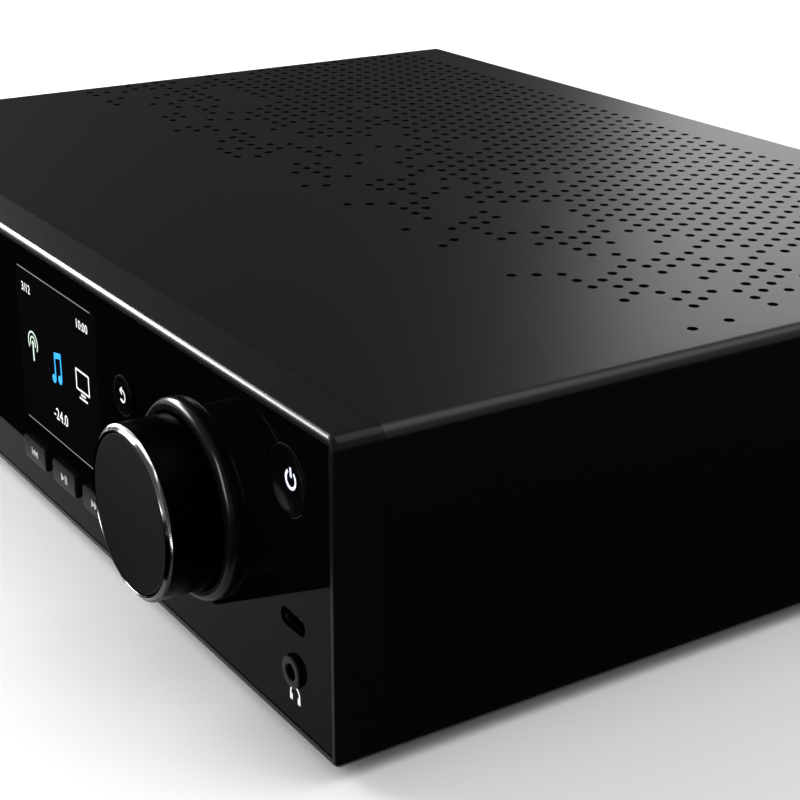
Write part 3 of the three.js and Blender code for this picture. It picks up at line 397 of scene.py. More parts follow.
def cellStencils(bm, width, depth, plan):
    # One cell of each kind at the origin, and the geometry that each is copied from.
    kinds = {}
    for kind in ("hole", "plain", "half"):
        start = set(bm.verts)
        part = bmesh.new()
        if kind == "hole":
            holeCell(part, 2 * width, depth, plan)
        elif kind == "plain":
            plainCell(part, 2 * width, depth, plan["cellCuts"], plan)
        else:
            plainCell(part, width, depth, plan["cellCuts"] // 2, plan)
        stencil = bpy.data.meshes.new("stencil")
        part.to_mesh(stencil)
        part.free()
        bm.from_mesh(stencil)
        bpy.data.meshes.remove(stencil)
        fresh = [v for v in bm.verts if v not in start]
        kinds[kind] = fresh + list({e for v in fresh for e in v.link_edges})
        kinds[kind] += list({f for v in fresh for f in v.link_faces})
    return kinds


def layCells(bm, left, width, firstRow, plan):
    # The field: rows of whole cells, each row shifted by half a cell, with a half cell at one end.
    depth = plan["rowPitch"]
    dice = random.Random(plan["seed"])
    kinds = cellStencils(bm, width, depth, plan)
    for row in range(plan["rows"]):
        y = firstRow - row * depth
        shift = row % 2
        endX = left + (0.5 if shift else plan["halfCells"] - 0.5) * width
        spots = [("half", endX)]
        for cell in range(plan["halfCells"] // 2):
            x = left + (2 * cell + 1 + shift) * width
            spots.append(("hole" if hasHole(x, y, row, plan, dice) else "plain", x))
        for kind, x in spots:
            copied = bmesh.ops.duplicate(bm, geom=kinds[kind])["geom"]
            verts = [v for v in copied if isinstance(v, bmesh.types.BMVert)]
            bmesh.ops.translate(bm, vec=(x, y, caseHigh.z), verts=verts)
    stencils = [g for group in kinds.values() for g in group if isinstance(g, bmesh.types.BMVert)]
    bmesh.ops.delete(bm, geom=stencils, context="VERTS")
    bmesh.ops.remove_doubles(bm, verts=bm.verts, dist=plan["cellWeld"])


def topCover(plan):
    top = caseHigh.z
    left = caseLow.x + plan["bend"]
    width = (caseHigh.x - plan["bend"] - left) / plan["halfCells"]
    depth = plan["rowPitch"]
    firstRow = caseHigh.y - plan["rearMargin"] - depth / 2
    bm = bmesh.new()
    layCells(bm, left, width, firstRow, plan)

    # plain steel in front of the field and behind it
    for edgeY, goalY in ((firstRow + depth / 2, caseHigh.y),
                         (firstRow - (plan["rows"] - 0.5) * depth, caseLow.y - plan["lead"])):
        rim = [e for e in bm.edges if all(abs(v.co.y - edgeY) < plan["rimReach"] for v in e.verts)]
        grown = bmesh.ops.extrude_edge_only(bm, edges=rim)["geom"]
        moved = [v for v in grown if isinstance(v, bmesh.types.BMVert)]
        bmesh.ops.translate(bm, vec=(0, goalY - edgeY, 0), verts=moved)

    # fold both sides down, and under to the flanges
    for side in (-1, 1):
        foldX = side * (caseHigh.x - plan["bend"])
        rim = [e for e in bm.edges if all(abs(v.co.x - foldX) < plan["rimReach"] for v in e.verts)]
        rim = fold(bm, rim, (foldX, 0, top - plan["bend"]), side * quarter, plan["bendSteps"])
        rim = stretchEdges(bm, rim, (0, 0, caseLow.z + plan["lowerBend"] - top + plan["bend"]))
        turnX = side * (caseHigh.x - plan["lowerBend"])
        rim = fold(bm, rim, (turnX, 0, caseLow.z + plan["lowerBend"]), side * quarter,
                   plan["lowerBendSteps"])
        stretchEdges(bm, rim, (side * (plan["lowerBend"] - plan["flange"]), 0, 0))
    merged(bm)
    roof = max(bm.faces, key=lambda f: f.calc_center_median().z)
    if roof.normal.z < 0:
        bmesh.ops.reverse_faces(bm, faces=bm.faces)
    bmesh.ops.solidify(bm, geom=bm.faces[:], thickness=plan["thickness"])
    addPiece("topCoverPerforated", bm, "coverSteel", "case", ["top_cover"], "cover_steel", smooth=30)


def fold(bm, edges, centre, angle, steps):
    verts = list({v for e in edges for v in e.verts})
    last = bmesh.ops.spin(bm, geom=verts + edges, cent=centre, axis=(0, 1, 0), angle=angle,
                          steps=steps)["geom_last"]
    return [g for g in last if isinstance(g, bmesh.types.BMEdge)]


def stretchEdges(bm, edges, way):
    grown = bmesh.ops.extrude_edge_only(bm, edges=edges)["geom"]
    bmesh.ops.translate(bm, vec=way, verts=[g for g in grown if isinstance(g, bmesh.types.BMVert)])
    return [g for g in grown if isinstance(g, bmesh.types.BMEdge)]


topCover(coverPlan)
print("stage: top cover folded and perforated")


# Front frame, display glass

addPiece("frontFrame", copyOf("front_frame"), "frameMetal", "case", ["front_frame"], "frame_metal")

glassPlan = {"corner": 2 * mm, "edge": 0.22 * mm}


def displayGlass(plan):
    low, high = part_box("display_lens")
    centre = frontCentre(low, high)
    bm = bmesh.new()
    slab(bm, centre, (high.x - low.x, high.z - low.z), plan["corner"], high.y - low.y, plan["edge"])
    merged(bm)
    addPiece("displayGlass", bm, "lensGlass", "case", ["display_lens"], "lens_glass", smooth=60)


displayGlass(glassPlan)
print("stage: frame and display glass")


# Marks: strokes drawn as thin raised ink on a face

ink = 0.04  # how thick a mark stands on its face. Marks are drawn in millimetres round the origin


def strokeLine(bm, start, end, width):
    # A straight stroke in the X-Z plane at y = 0.
    run = Vector((end[0] - start[0], 0, end[1] - start[1]))
    centre = Vector(((start[0] + end[0]) / 2, 0, (start[1] + end[1]) / 2))
    made = bmesh.ops.create_cube(bm, size=1)["verts"]
    bmesh.ops.scale(bm, vec=(run.length + width / 2, ink, width), verts=made)
    bmesh.ops.rotate(bm, cent=(0, 0, 0), verts=made,
                     matrix=Matrix.Rotation(-math.atan2(run.z, run.x), 3, "Y"))
    bmesh.ops.translate(bm, vec=centre, verts=made)


def strokeArc(bm, centre, radius, width, start, end, steps=24):
    # A round stroke: its small cross section is spun between two angles, counted from +X towards +Z.
    middlePoint = Vector((centre[0], 0, centre[1]))
    section = bmesh.ops.create_grid(bm, x_segments=1, y_segments=1, size=0.5)["verts"]
    bmesh.ops.scale(bm, vec=(width, ink, 1), verts=section)
    bmesh.ops.translate(bm, vec=(radius, 0, 0), verts=section)
    bmesh.ops.rotate(bm, cent=(0, 0, 0), matrix=Matrix.Rotation(-start, 3, "Y"), verts=section)
    bmesh.ops.translate(bm, vec=middlePoint, verts=section)
    faces = list({f for v in section for f in v.link_faces})
    edges = list({e for v in section for e in v.link_edges})
    whole = math.isclose(abs(end - start), 2 * math.pi)
    bmesh.ops.spin(bm, geom=section + edges + faces, cent=middlePoint, axis=(0, 1, 0),
                   angle=start - end, steps=steps, use_merge=whole)


def strokeBlock(bm, corners):
    # A filled shape with a few corners.
    verts = [bm.verts.new((x, -ink / 2, z)) for x, z in corners]
    front = bm.faces.new(verts)
    grown = bmesh.ops.extrude_face_region(bm, geom=[front])["geom"]
    bmesh.ops.translate(bm, vec=(0, ink, 0), verts=[g for g in grown if isinstance(g, bmesh.types.BMVert)])


def placeMark(bm, spot, scale=1.0, drape=None):
    # Moves a mark drawn round the origin, in millimetres, to its place on a face.
    bmesh.ops.remove_doubles(bm, verts=bm.verts, dist=ink / 80)
    bmesh.ops.recalc_face_normals(bm, faces=bm.faces)
    bmesh.ops.scale(bm, vec=(mm * scale, mm, mm * scale), verts=bm.verts)
    if drape:
        for vert in bm.verts:
            vert.co.y += drape(math.hypot(vert.co.x, vert.co.z))
    bmesh.ops.translate(bm, vec=spot, verts=bm.verts)


def mark(name, draw, spot, finish, body, scale=1.0, drape=None):
    bm = bmesh.new()
    draw(bm)
    placeMark(bm, spot, scale, drape)
    return addPiece(name, bm, finish, body)


def drawPower(bm):
    strokeArc(bm, (0, 0), 2.25, 0.75, math.radians(125), math.radians(415))
    strokeLine(bm, (0, 0.7), (0, 2.9), 0.75)


def drawBack(bm):
    strokeArc(bm, (0.1, -0.1), 1.7, 0.55, math.radians(-130), math.radians(130))
    strokeLine(bm, (-1.3, 1.35), (-0.1, 2.3), 0.5)
    strokeLine(bm, (-1.3, 1.25), (-0.2, 0.4), 0.5)
    strokeLine(bm, (-1.2, -1.35), (0.1, -1.35), 0.5)


def drawPlay(bm):
    strokeBlock(bm, [(-1.6, -1.15), (0.3, 0), (-1.6, 1.15)])
    strokeLine(bm, (0.95, -1.0), (0.95, 1.0), 0.5)
    strokeLine(bm, (1.85, -1.0), (1.85, 1.0), 0.5)


def drawNext(bm):
    strokeBlock(bm, [(-1.9, -1.1), (-0.2, 0), (-1.9, 1.1)])
    strokeBlock(bm, [(-0.2, -1.1), (1.5, 0), (-0.2, 1.1)])
    strokeLine(bm, (1.75, -0.95), (1.75, 0.95), 0.4)


def drawPrevious(bm):
    drawNext(bm)
    bmesh.ops.rotate(bm, cent=(0, 0, 0), matrix=Matrix.Rotation(math.pi, 3, "Y"), verts=bm.verts)


def drawHeadphones(bm):
    strokeArc(bm, (0, 0), 1.75, 0.5, 0, math.pi)
    for side in (-1, 1):
        strokeLine(bm, (side * 1.75, 0.1), (side * 1.75, -0.5), 0.5)
        strokeLine(bm, (side * 1.55, -0.6), (side * 1.55, -1.5), 1.0)


def drawBroadcast(bm):
    strokeArc(bm, (0, 0), 2.9, 0.45, math.radians(-35), math.radians(215))
    strokeArc(bm, (0, 0), 1.6, 0.45, math.radians(-30), math.radians(210))
    strokeArc(bm, (0, 0), 0.3, 0.6, 0, 2 * math.pi, 12)
    strokeLine(bm, (0, -0.6), (0, -4.6), 0.75)


def drawNote(bm):
    # two joined notes
    for x, z in ((-2.0, -3.2), (1.6, -2.5)):
        strokeArc(bm, (x, z), 0.55, 1.1, 0, 2 * math.pi, 16)
        strokeLine(bm, (x + 0.95, z + 0.2), (x + 0.95, z + 6.6), 0.6)
    strokeBlock(bm, [(-1.35, 2.1), (2.85, 2.95), (2.85, 4.4), (-1.35, 3.55)])


def drawMonitor(bm):
    for start, end in (((-3.7, -1.6), (3.7, -1.6)), ((3.7, -1.6), (3.7, 3.4)),
                       ((3.7, 3.4), (-3.7, 3.4)), ((-3.7, 3.4), (-3.7, -1.6))):
        strokeLine(bm, start, end, 0.5)
    strokeLine(bm, (-1.2, -2.6), (1.2, -2.6), 0.5)
    strokeLine(bm, (-2.2, -3.6), (2.2, -3.6), 0.5)


letterShare = 1.42  # a font's size against the height of its figures


def figures(name, words, spot, height, finish, align):
    # Plain figures, made a mesh and given their thickness before they are placed.
    curve = bpy.data.curves.new(name, "FONT")
    curve.body = words
    curve.align_x = align
    curve.size = height * letterShare
    curve.extrude = ink / 2
    curve.resolution_u = 3      # steps in each round of a figure
    writing = bpy.data.objects.new(name, curve)
    scene.collection.objects.link(writing)
    bpy.context.view_layer.update()
    shape = bpy.data.meshes.new_from_object(writing)
    bpy.data.objects.remove(writing)
    bm = bmesh.new()
    bm.from_mesh(shape)
    bpy.data.meshes.remove(shape)
    bmesh.ops.rotate(bm, cent=(0, 0, 0), matrix=Matrix.Rotation(quarter, 3, "X"), verts=bm.verts)
    placeMark(bm, spot)
    return addPiece(name, bm, finish, "case")


screenPlan = {
    "side": 4.2 * mm,     # from the glass's sides to the figures
    "top": 6.3 * mm,
    "iconSide": 9.3 * mm,
    "broadcastRise": 1.5 * mm,
    "noteShift": 0.4 * mm,
    "noteDrop": 0.5 * mm,
    "noteScale": 1.05,
    "captionHeight": 6.0 * mm,
    "figures": 2.3,       # in millimetres: the small figures' height, and the level's
    "levelFigures": 3.1,
    "glintInset": 0.35,    # in millimetres: the painted highlight lines along the glass, and their width
    "glintWidth": 0.18,
}


def screenTrim(low, high, centre, plan):
    # A painted highlight: a faintly glowing grey line along the glass's top and bottom, for the light that
    # catches those edges.
    halfWide = (high.x - low.x) / (2 * mm) - plan["glintInset"]
    halfTall = (high.z - low.z) / (2 * mm) - plan["glintInset"]
    reach = halfWide - glassPlan["corner"] / mm

    def drawEdgeGlint(bm):
        for side in (-1, 1):
            strokeLine(bm, (-reach, side * halfTall), (reach, side * halfTall), plan["glintWidth"])

    mark("screenTrim", drawEdgeGlint, centre, "paintedGlintGrey", "case")


def screen(plan):
    low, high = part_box("display_lens")
    centre = frontCentre(low, high)
    y = low.y - ink * mm / 2
    centre.y = y
    left, right, top = low.x + plan["side"], high.x - plan["side"], high.z - plan["top"]
    figures("screenTrack", "3/12", Vector((left, y, top)), plan["figures"], "screenWhite", "LEFT")
    figures("screenClock", "10:00", Vector((right, y, top)), plan["figures"], "screenWhite", "RIGHT")
    figures("screenLevel", "-24.0", Vector((centre.x, y, low.z + plan["captionHeight"])),
            plan["levelFigures"], "screenWhite", "CENTER")
    mark("screenBroadcast", drawBroadcast,
         Vector((low.x + plan["iconSide"], y, centre.z + plan["broadcastRise"])), "screenGreen", "case")
    mark("screenNote", drawNote, Vector((centre.x - plan["noteShift"], y, centre.z - plan["noteDrop"])),
         "screenBlue", "case", plan["noteScale"])
    screenTrim(low, high, centre, plan)
    mark("screenMonitor", drawMonitor, Vector((high.x - plan["iconSide"], y, centre.z)), "screenWhite",
         "case")


screen(screenPlan)
print("stage: display marks")


# Buttons

buttonPlan = {
    "flange": 1 * mm,
    "flangeThickness": 1.2 * mm,
    "stem": 0.9 * mm,
    "stemRadius": 1.6 * mm,
    "corner": 0.8 * mm,
    "edge": 0.4 * mm,
    "powerDish": 1 * mm,
    "dishShare": 0.9,
    "markScale": 0.82,
    "roundEdge": 0.35 * mm,
    "dishSteps": 8,
    "roundSteps": 72,
    "stemSteps": 24,
}


def transportButton(word, draw, plan):
    node = word + "_button"
    low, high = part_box(node)
    centre = frontCentre(low, high)
    body = bodyOf(node)
    lipFront = high.y - plan["stem"] - plan["flangeThickness"]
    tall = high.z - low.z - 2 * plan["flange"]
    wide = high.x - low.x - 2 * plan["flange"]
    bm = bmesh.new()
    slab(bm, centre, (wide, tall), plan["corner"], lipFront - low.y, plan["edge"], 4)
    slab(bm, (centre.x, lipFront, centre.z), (high.x - low.x, high.z - low.z), plan["corner"],
         plan["flangeThickness"])
    stem = [(0, 0), (plan["stemRadius"], 0), (plan["stemRadius"], plan["stem"]), (0, plan["stem"])]
    turn(bm, stem, Vector((centre.x, high.y - plan["stem"], centre.z)), plan["stemSteps"], closed=False)
    merged(bm)
    addPiece(word + "Button", bm, "buttonPlastic", body, [node], "button_plastic", smooth=50)
    mark(word + "Mark", draw, centre - Vector((0, ink * mm / 2, 0)), "markDim", body)


def roundButton(word, draw, finish, dish, plan):
    node = word + "_button"
    low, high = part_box(node)
    centre = frontCentre(low, high)
    body = bodyOf(node)
    lip = (high.x - low.x) / 2
    radius = lip - plan["flange"]
    bowlRadius = radius * plan["dishShare"]
    lipFront = high.y - plan["stem"] - plan["flangeThickness"] - low.y

    def bowl(r):
        return dish * max(1 - (r / bowlRadius) ** 2, 0)

    edge = plan["roundEdge"]
    steps = plan["dishSteps"]
    outline = [(bowlRadius * step / steps, bowl(bowlRadius * step / steps)) for step in range(steps + 1)]
    outline += arc((radius - edge, edge), edge, -quarter, 0, 5)
    outline += [(radius, lipFront), (lip, lipFront), (lip, lipFront + plan["flangeThickness"]),
                (plan["stemRadius"], lipFront + plan["flangeThickness"]),
                (plan["stemRadius"], high.y - low.y), (0, high.y - low.y)]
    turnedPiece(word + "Button", outline, centre, "buttonGloss", body, plan["roundSteps"], closed=False,
                stands=[node], slot="button_plastic", smooth=40)
    mark(word + "Mark", draw, centre - Vector((0, ink * mm / 2, 0)), finish, body, plan["markScale"],
         bowl)


transportButton("previous", drawPrevious, buttonPlan)
transportButton("play", drawPlay, buttonPlan)
transportButton("next", drawNext, buttonPlan)
roundButton("back", drawBack, "markWhite", 0, buttonPlan)
roundButton("power", drawPower, "powerGlow", buttonPlan["powerDish"], buttonPlan)
print("stage: buttons")


# Volume knob

knobPlan = {
    "wall": 2.2 * mm,
    "web": 2.2 * mm,
    "hub": 5.6 * mm,
    "bore": 3.1 * mm,
    "boreDepth": 0.6 * mm,
    "hubAir": 1.3 * mm,        # between the hub and the encoder's body
    "edge": 0.3 * mm,
    "teeth": 240,
    "toothDepth": 0.12 * mm,
    "rimBevel": 0.95 * mm,
    "rimWidth": 1.55 * mm,
    "rimLip": 0.35 * mm,
    "rimChamfer": 0.1 * mm,
    "rimLevel": 0.05 * mm,     # of full radius, behind the bevel
    "slopeShares": (0, 0.12, 0.3, 0.5, 0.7, 0.88, 1),
    "toothStart": 1.4,         # in lips from the rim's inside
    "bandStep": 0.6 * mm,      # how far the rim is turned down for the black band behind its bevel
    "bandGap": 0.02 * mm,
    "faceEdge": 0.25 * mm,
    "faceRings": (0, 0.5, 0.9),
    "steps": 128,
}


def knobSkirt(plan):
    low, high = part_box("knob_skirt")
    centre = frontCentre(low, high)
    radius = (high.x - low.x) / 2
    depth = high.y - low.y
    inner = radius - plan["wall"]
    edge = plan["edge"]
    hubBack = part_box("encoder_body")[0].y - low.y - plan["hubAir"]
    outline = [(0, 0), (radius, 0)]
    outline += arc((radius - edge, depth - edge), edge, 0, quarter, 4)
    outline += arc((inner + edge, depth - edge), edge, quarter, 2 * quarter, 4)
    outline += [(inner, plan["web"]), (plan["hub"], plan["web"]), (plan["hub"], hubBack),
                (plan["bore"], hubBack), (plan["bore"], plan["boreDepth"]), (0, plan["boreDepth"])]
    turnedPiece("knobSkirt", outline, centre, "knobBlack", "knob", plan["steps"], closed=False,
                stands=["knob_skirt"], slot="knob_black")


def knobRim(plan):
    low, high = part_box("knob_rim")
    centre = frontCentre(low, high)
    radius = (high.x - low.x) / 2
    depth = high.y - low.y
    inner = radius - plan["rimWidth"]
    bevel = plan["rimBevel"]
    lip = plan["rimLip"]
    chamfer = plan["rimChamfer"]
    slope = [(inner + lip + (radius - inner - lip) * share, bevel * share) for share in plan["slopeShares"]]
    step = radius - plan["bandStep"]
    level = bevel + plan["rimLevel"]
    outline = [(inner, chamfer), (inner + chamfer, 0)] + slope
    outline += [(radius, level), (step, level), (step, depth), (inner, depth)]
    bm = bmesh.new()
    turn(bm, outline, centre, 2 * plan["teeth"])
    merged(bm)
    # every second column of the slope and the flank is drawn in, which leaves the teeth
    pitch = math.pi / plan["teeth"]
    for vert in bm.verts:
        out = Vector((vert.co.x - centre.x, 0, vert.co.z - centre.z))
        along = vert.co.y - centre.y
        column = round(math.atan2(out.z, out.x) / pitch)
        if column % 2 and out.length > inner + plan["toothStart"] * lip and along < bevel + chamfer:
            share = min((out.length - inner) / (radius - inner), 1)
            vert.co -= out.normalized() * plan["toothDepth"] * share
    bm.normal_update()
    addPiece("knobRimKnurled", bm, "chrome", "knob", ["knob_rim"], "knob_chrome", smooth=20)

    # the black band fills the step and reaches the skirt
    gap = plan["bandGap"]
    near = level + gap
    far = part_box("knob_skirt")[0].y - low.y - gap
    band = [(step + gap, near), (radius - gap, near), (radius - gap, far), (step + gap, far)]
    turnedPiece("knobBand", band, centre, "knobBlack", "knob", plan["steps"])


def knobFace(plan):
    low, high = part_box("knob_cap")
    centre = frontCentre(low, high)
    radius = (high.x - low.x) / 2
    depth = high.y - low.y
    edge = plan["faceEdge"]
    outline = [(radius * share, 0) for share in plan["faceRings"]]
    outline += arc((radius - edge, edge), edge, -quarter, 0, 4) + [(radius, depth), (0, depth)]
    turnedPiece("knobFace", outline, centre, "knobFace", "knob", plan["steps"], closed=False,
                stands=["knob_cap"], slot="knob_face")


collarPlan = {"width": 2.55 * mm, "crown": 1.7 * mm, "lip": 0.1 * mm, "crownSteps": 12, "steps": 128}


def knobCollar(plan):
    low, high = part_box("knob_collar")
    centre = frontCentre(low, high)
    outer = (high.x - low.x) / 2
    inner = outer - plan["width"]
    depth = high.y - low.y
    crown = plan["crown"]
    outline = [(inner, plan["lip"]), (inner + plan["lip"], 0)]
    outline += arc((outer - crown, crown), crown, -quarter, 0, plan["crownSteps"])
    outline += [(outer, depth), (inner, depth)]
    turnedPiece("knobCollar", outline, centre, "collarGloss", "case", plan["steps"],
                stands=["knob_collar"], slot="collar_gloss")


knobSkirt(knobPlan)
knobRim(knobPlan)
knobFace(knobPlan)
knobCollar(collarPlan)
print("stage: volume knob")


# Front sockets
usbPlan = {"edge": 0.05 * mm, "steps": 1, "sharp": 60}
usbShape = copyOf("usb_c_socket", usbPlan["edge"], usbPlan["steps"], usbPlan["sharp"])
addPiece("usbSocket", usbShape, "chrome", "case", ["usb_c_socket"], "steel_parts")

jackPlan = {
    "radius": 3.5 * mm,
    "bore": 1.75 * mm,
    "edge": 0.3 * mm,
    "nose": 4.8 * mm,
    "depth": 9 * mm,
    "sleeveIn": 0.5,         # the sleeve's inside and outside, in edges from the bore
    "sleeveOut": 0.9,
    "sleeveFront": 0.3,      # where the sleeve starts, as a share of the nose
    "sleeveFloor": 0.95,     # and where its floor is, as a share of the depth
    "bodyCorner": 0.6 * mm,
    "markDrop": 5.4 * mm,
}


def headphoneJack(plan):
    low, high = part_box("headphone_socket")
    centre = frontCentre(low, high)
    edge = plan["edge"]
    outline = arc((plan["bore"] + edge, edge), edge, 2 * quarter, 3 * quarter, 4)
    outline += arc((plan["radius"] - edge, edge), edge, -quarter, 0, 4)
    outline += [(plan["radius"], plan["nose"]), (plan["bore"] + edge, plan["nose"]),
                (plan["bore"] + edge, 3 * edge), (plan["bore"], 2 * edge)]
    bm = bmesh.new()
    turn(bm, outline, centre, 48)
    merged(bm)
    addPiece("headphoneNose", bm, "jackBlack", "case")
    outside = plan["bore"] + edge * plan["sleeveOut"]
    inside = plan["bore"] + edge * plan["sleeveIn"]
    start = plan["nose"] * plan["sleeveFront"]
    floorY = plan["depth"] * plan["sleeveFloor"]
    sleeve = [(0, plan["depth"]), (outside, plan["depth"]), (outside, start), (inside, start),
              (inside, floorY), (0, floorY)]
    turnedPiece("headphoneSleeve", sleeve, centre, "steelParts", "case", 40, closed=False)
    bm = bmesh.new()
    slab(bm, (centre.x, low.y + plan["nose"], centre.z), (high.x - low.x, high.z - low.z),
         plan["bodyCorner"], high.y - low.y - plan["nose"], edge, 2)
    merged(bm)
    addPiece("headphoneBody", bm, "socketPlastic", "case", ["headphone_socket"], "socket_plastic")
    mark("headphoneMark", drawHeadphones,
         Vector((centre.x, panelY - ink * mm / 2, centre.z - plan["markDrop"])), "markWhite", "case")


headphoneJack(jackPlan)
print("stage: front sockets")


# Rear sockets and speaker terminals
rcaPlan = {
    "pitch": 14 * mm,
    "barrel": 4.15 * mm,
    "barrelWall": 0.9 * mm,
    "barrelEdge": 0.3 * mm,
    "bore": 1.6 * mm,
    "body": 14 * mm,
    "bodyCorner": 1 * mm,
    "bodyEdge": 0.5 * mm,
    "insertGap": 0.05 * mm,   # between the barrel and its insulator
    "insertSunk": 0.8 * mm,
}


def rcaSocket(tag, spot, reach, finish, plan):
    barrel, edge = plan["barrel"], plan["barrelEdge"]
    wall = barrel - plan["barrelWall"]
    shell = [(wall, 0), (barrel, 0)]
    shell += arc((barrel - edge, reach - edge), edge, 0, quarter, 3) + [(wall, reach)]
    turnedPiece("rcaShell" + tag, shell, spot, "goldPlate", "case", 40)
    outside = wall - plan["insertGap"]
    face = reach - plan["insertSunk"]
    insert = [(plan["bore"], 0), (outside, 0), (outside, face), (plan["bore"], face)]
    turnedPiece("rcaInsert" + tag, insert, spot, finish, "case", 32)


def rcaSockets(plan):
    low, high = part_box("rca_socket_block")
    centre = frontCentre(low, high)
    bm = bmesh.new()
    slab(bm, centre, (high.x - low.x, high.z - low.z), plan["bodyCorner"], plan["body"],
         plan["bodyEdge"], 2)
    merged(bm)
    addPiece("rcaHousing", bm, "socketPlastic", "case", ["rca_socket_block"], "socket_plastic")
    base = low.y + plan["body"]
    for column, side, finish in ((-1, "Left", "insulatorWhite"), (1, "Right", "insulatorRed")):
        for row, level in ((-1, "Low"), (1, "High")):
            spot = Vector((centre.x + column * plan["pitch"] / 2, base, centre.z + row * plan["pitch"] / 2))
            rcaSocket(side + level, spot, high.y - base, finish, plan)


lanPlan = {
    "edge": 0.25 * mm,
    "steps": 2,
    "sharp": 60,
    "contacts": 8,
    "contactPitch": 1.02 * mm,
    "contactTip": 0.18 * mm,
    "contactRadius": 0.22 * mm,
    "contactLength": 11 * mm,
    "contactEnd": 0.1 * mm,
    "contactDepth": 12.6 * mm,   # from the socket's mouth to the contacts' inner ends
    "contactDrop": 2.6 * mm,
}


def lanSocket(plan):
    low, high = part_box("lan_socket")
    centre = frontCentre(low, high)
    addPiece("lanShell", copyOf("lan_socket", plan["edge"], plan["steps"], plan["sharp"]), "steelParts",
             "case", ["lan_socket"], "zinc_steel")
    end, length = plan["contactEnd"], plan["contactLength"]
    outline = [(0, 0), (plan["contactTip"], end), (plan["contactRadius"], length), (0, length + end)]
    for index in range(plan["contacts"]):
        x = centre.x + (index - (plan["contacts"] - 1) / 2) * plan["contactPitch"]
        spot = Vector((x, high.y - plan["contactDepth"], centre.z - plan["contactDrop"]))
        turnedPiece("lanContact" + str(index + 1), outline, spot, "goldPlate", "case", 12, closed=False)


antennaPlan = {
    "corner": 0.8 * mm,
    "edge": 0.4 * mm,
    "body": 12 * mm,
    "radius": 4.7 * mm,
    "bore": 1 * mm,
    "boreDepth": 6 * mm,
    "turns": 14,
    "plain": 1.6 * mm,         # of the barrel, before the thread
    "threadStart": 1.8 * mm,
    "threadEnds": 2.4 * mm,    # of the barrel without a thread, at both ends together
    "threadDepth": 0.32 * mm,
    "threadRise": 0.28 * mm,
    "mouthBevel": 0.5 * mm,
}


def antennaSocket(plan):
    low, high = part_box("antenna_socket")
    centre = frontCentre(low, high)
    bm = bmesh.new()
    slab(bm, centre, (high.x - low.x, high.z - low.z), plan["corner"], plan["body"], plan["edge"], 2)
    merged(bm)
    addPiece("antennaHousing", bm, "zincSteel", "case", ["antenna_socket"], "zinc_steel")
    root = low.y + plan["body"]
    reach = high.y - root
    radius = plan["radius"]
    floorY = reach - plan["boreDepth"]
    outline = [(plan["bore"], reach), (plan["bore"], floorY), (0, floorY), (0, 0), (radius, 0),
               (radius, plan["plain"])]
    for index in range(plan["turns"]):
        y = plan["threadStart"] + (reach - plan["threadEnds"]) * index / plan["turns"]
        outline += [(radius - plan["threadDepth"], y), (radius, y + plan["threadRise"])]
    outline += [(radius - plan["mouthBevel"], reach)]
    turnedPiece("antennaThread", outline, Vector((centre.x, root, centre.z)), "goldPlate", "case", 48,
                closed=False, smooth=25)


inletPlan = {
    "pinRadius": 1.25 * mm,
    "pinRound": 0.6 * mm,
    "pinLength": 9 * mm,
    "pinSunk": 2.45 * mm,
    "pinSide": 4.3 * mm,     # from the inlet's middle
}


def mainsInlet(plan):
    low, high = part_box("mains_inlet")
    centre = frontCentre(low, high)
    addPiece("mainsInletShell", copyOf("mains_inlet"), "socketPlastic", "case", ["mains_inlet"],
             "socket_plastic")
    length, rounding = plan["pinLength"], plan["pinRound"]
    pin = [(0, 0), (plan["pinRadius"], 0)]
    pin += arc((plan["pinRadius"] - rounding, length - rounding), rounding, 0, quarter, 4) + [(0, length)]
    for side, tag in ((-1, "Left"), (1, "Right")):
        spot = Vector((centre.x + side * plan["pinSide"], high.y - plan["pinSunk"] - length, centre.z))
        turnedPiece("mainsPin" + tag, pin, spot, "steelParts", "case", 32, closed=False)


terminalNames = {"left_minus": "LeftMinus", "left_plus": "LeftPlus", "right_minus": "RightMinus",
                 "right_plus": "RightPlus"}
terminalPlan = {
    "flutes": 24,
    "fluteSteps": 4,
    "fluteDepth": 0.45 * mm,
    "fluteRows": (0.25, 0.5, 0.7),
    "edge": 0.6 * mm,
    "bore": 3.15 * mm,
    "washerEdge": 0.3 * mm,
}


def terminalCap(node, tag, plan):
    low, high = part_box(node)
    centre = frontCentre(low, high)
    radius = (high.x - low.x) / 2
    depth = high.y - low.y
    edge = plan["edge"]
    outline = [(plan["bore"], 0)] + arc((radius - edge, edge), edge, -quarter, 0, 4)
    outline += [(radius, depth * share) for share in plan["fluteRows"]]
    outline += arc((radius - edge, depth - edge), edge, 0, quarter, 4) + [(plan["bore"], depth)]
    bm = bmesh.new()
    turn(bm, outline, centre, plan["flutes"] * plan["fluteSteps"])
    merged(bm)
    for vert in bm.verts:
        out = Vector((vert.co.x - centre.x, 0, vert.co.z - centre.z))
        along = vert.co.y - centre.y
        if out.length > radius - edge and edge / 2 < along < depth - edge / 2:
            wave = 0.5 - 0.5 * math.cos(math.atan2(out.z, out.x) * plan["flutes"])
            vert.co -= out.normalized() * plan["fluteDepth"] * wave
    bm.normal_update()
    finish = "terminalRed" if node.endswith("plus") else "terminalBlack"
    slot = "terminal_red" if node.endswith("plus") else "terminal_black"
    addPiece("terminalCap" + tag, bm, finish, bodyOf(node), [node], slot, smooth=50)


def clampWasher(node, tag, plan):
    low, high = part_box(node)
    centre = frontCentre(low, high)
    radius = (high.x - low.x) / 2
    depth = high.y - low.y
    edge = plan["washerEdge"]
    outline = [(plan["bore"], 0)] + arc((radius - edge, edge), edge, -quarter, 0, 3)
    outline += arc((radius - edge, depth - edge), edge, 0, quarter, 3) + [(plan["bore"], depth)]
    turnedPiece("clampWasher" + tag, outline, centre, "goldPlate", bodyOf(node), 48, stands=[node],
                slot="gold_plate")


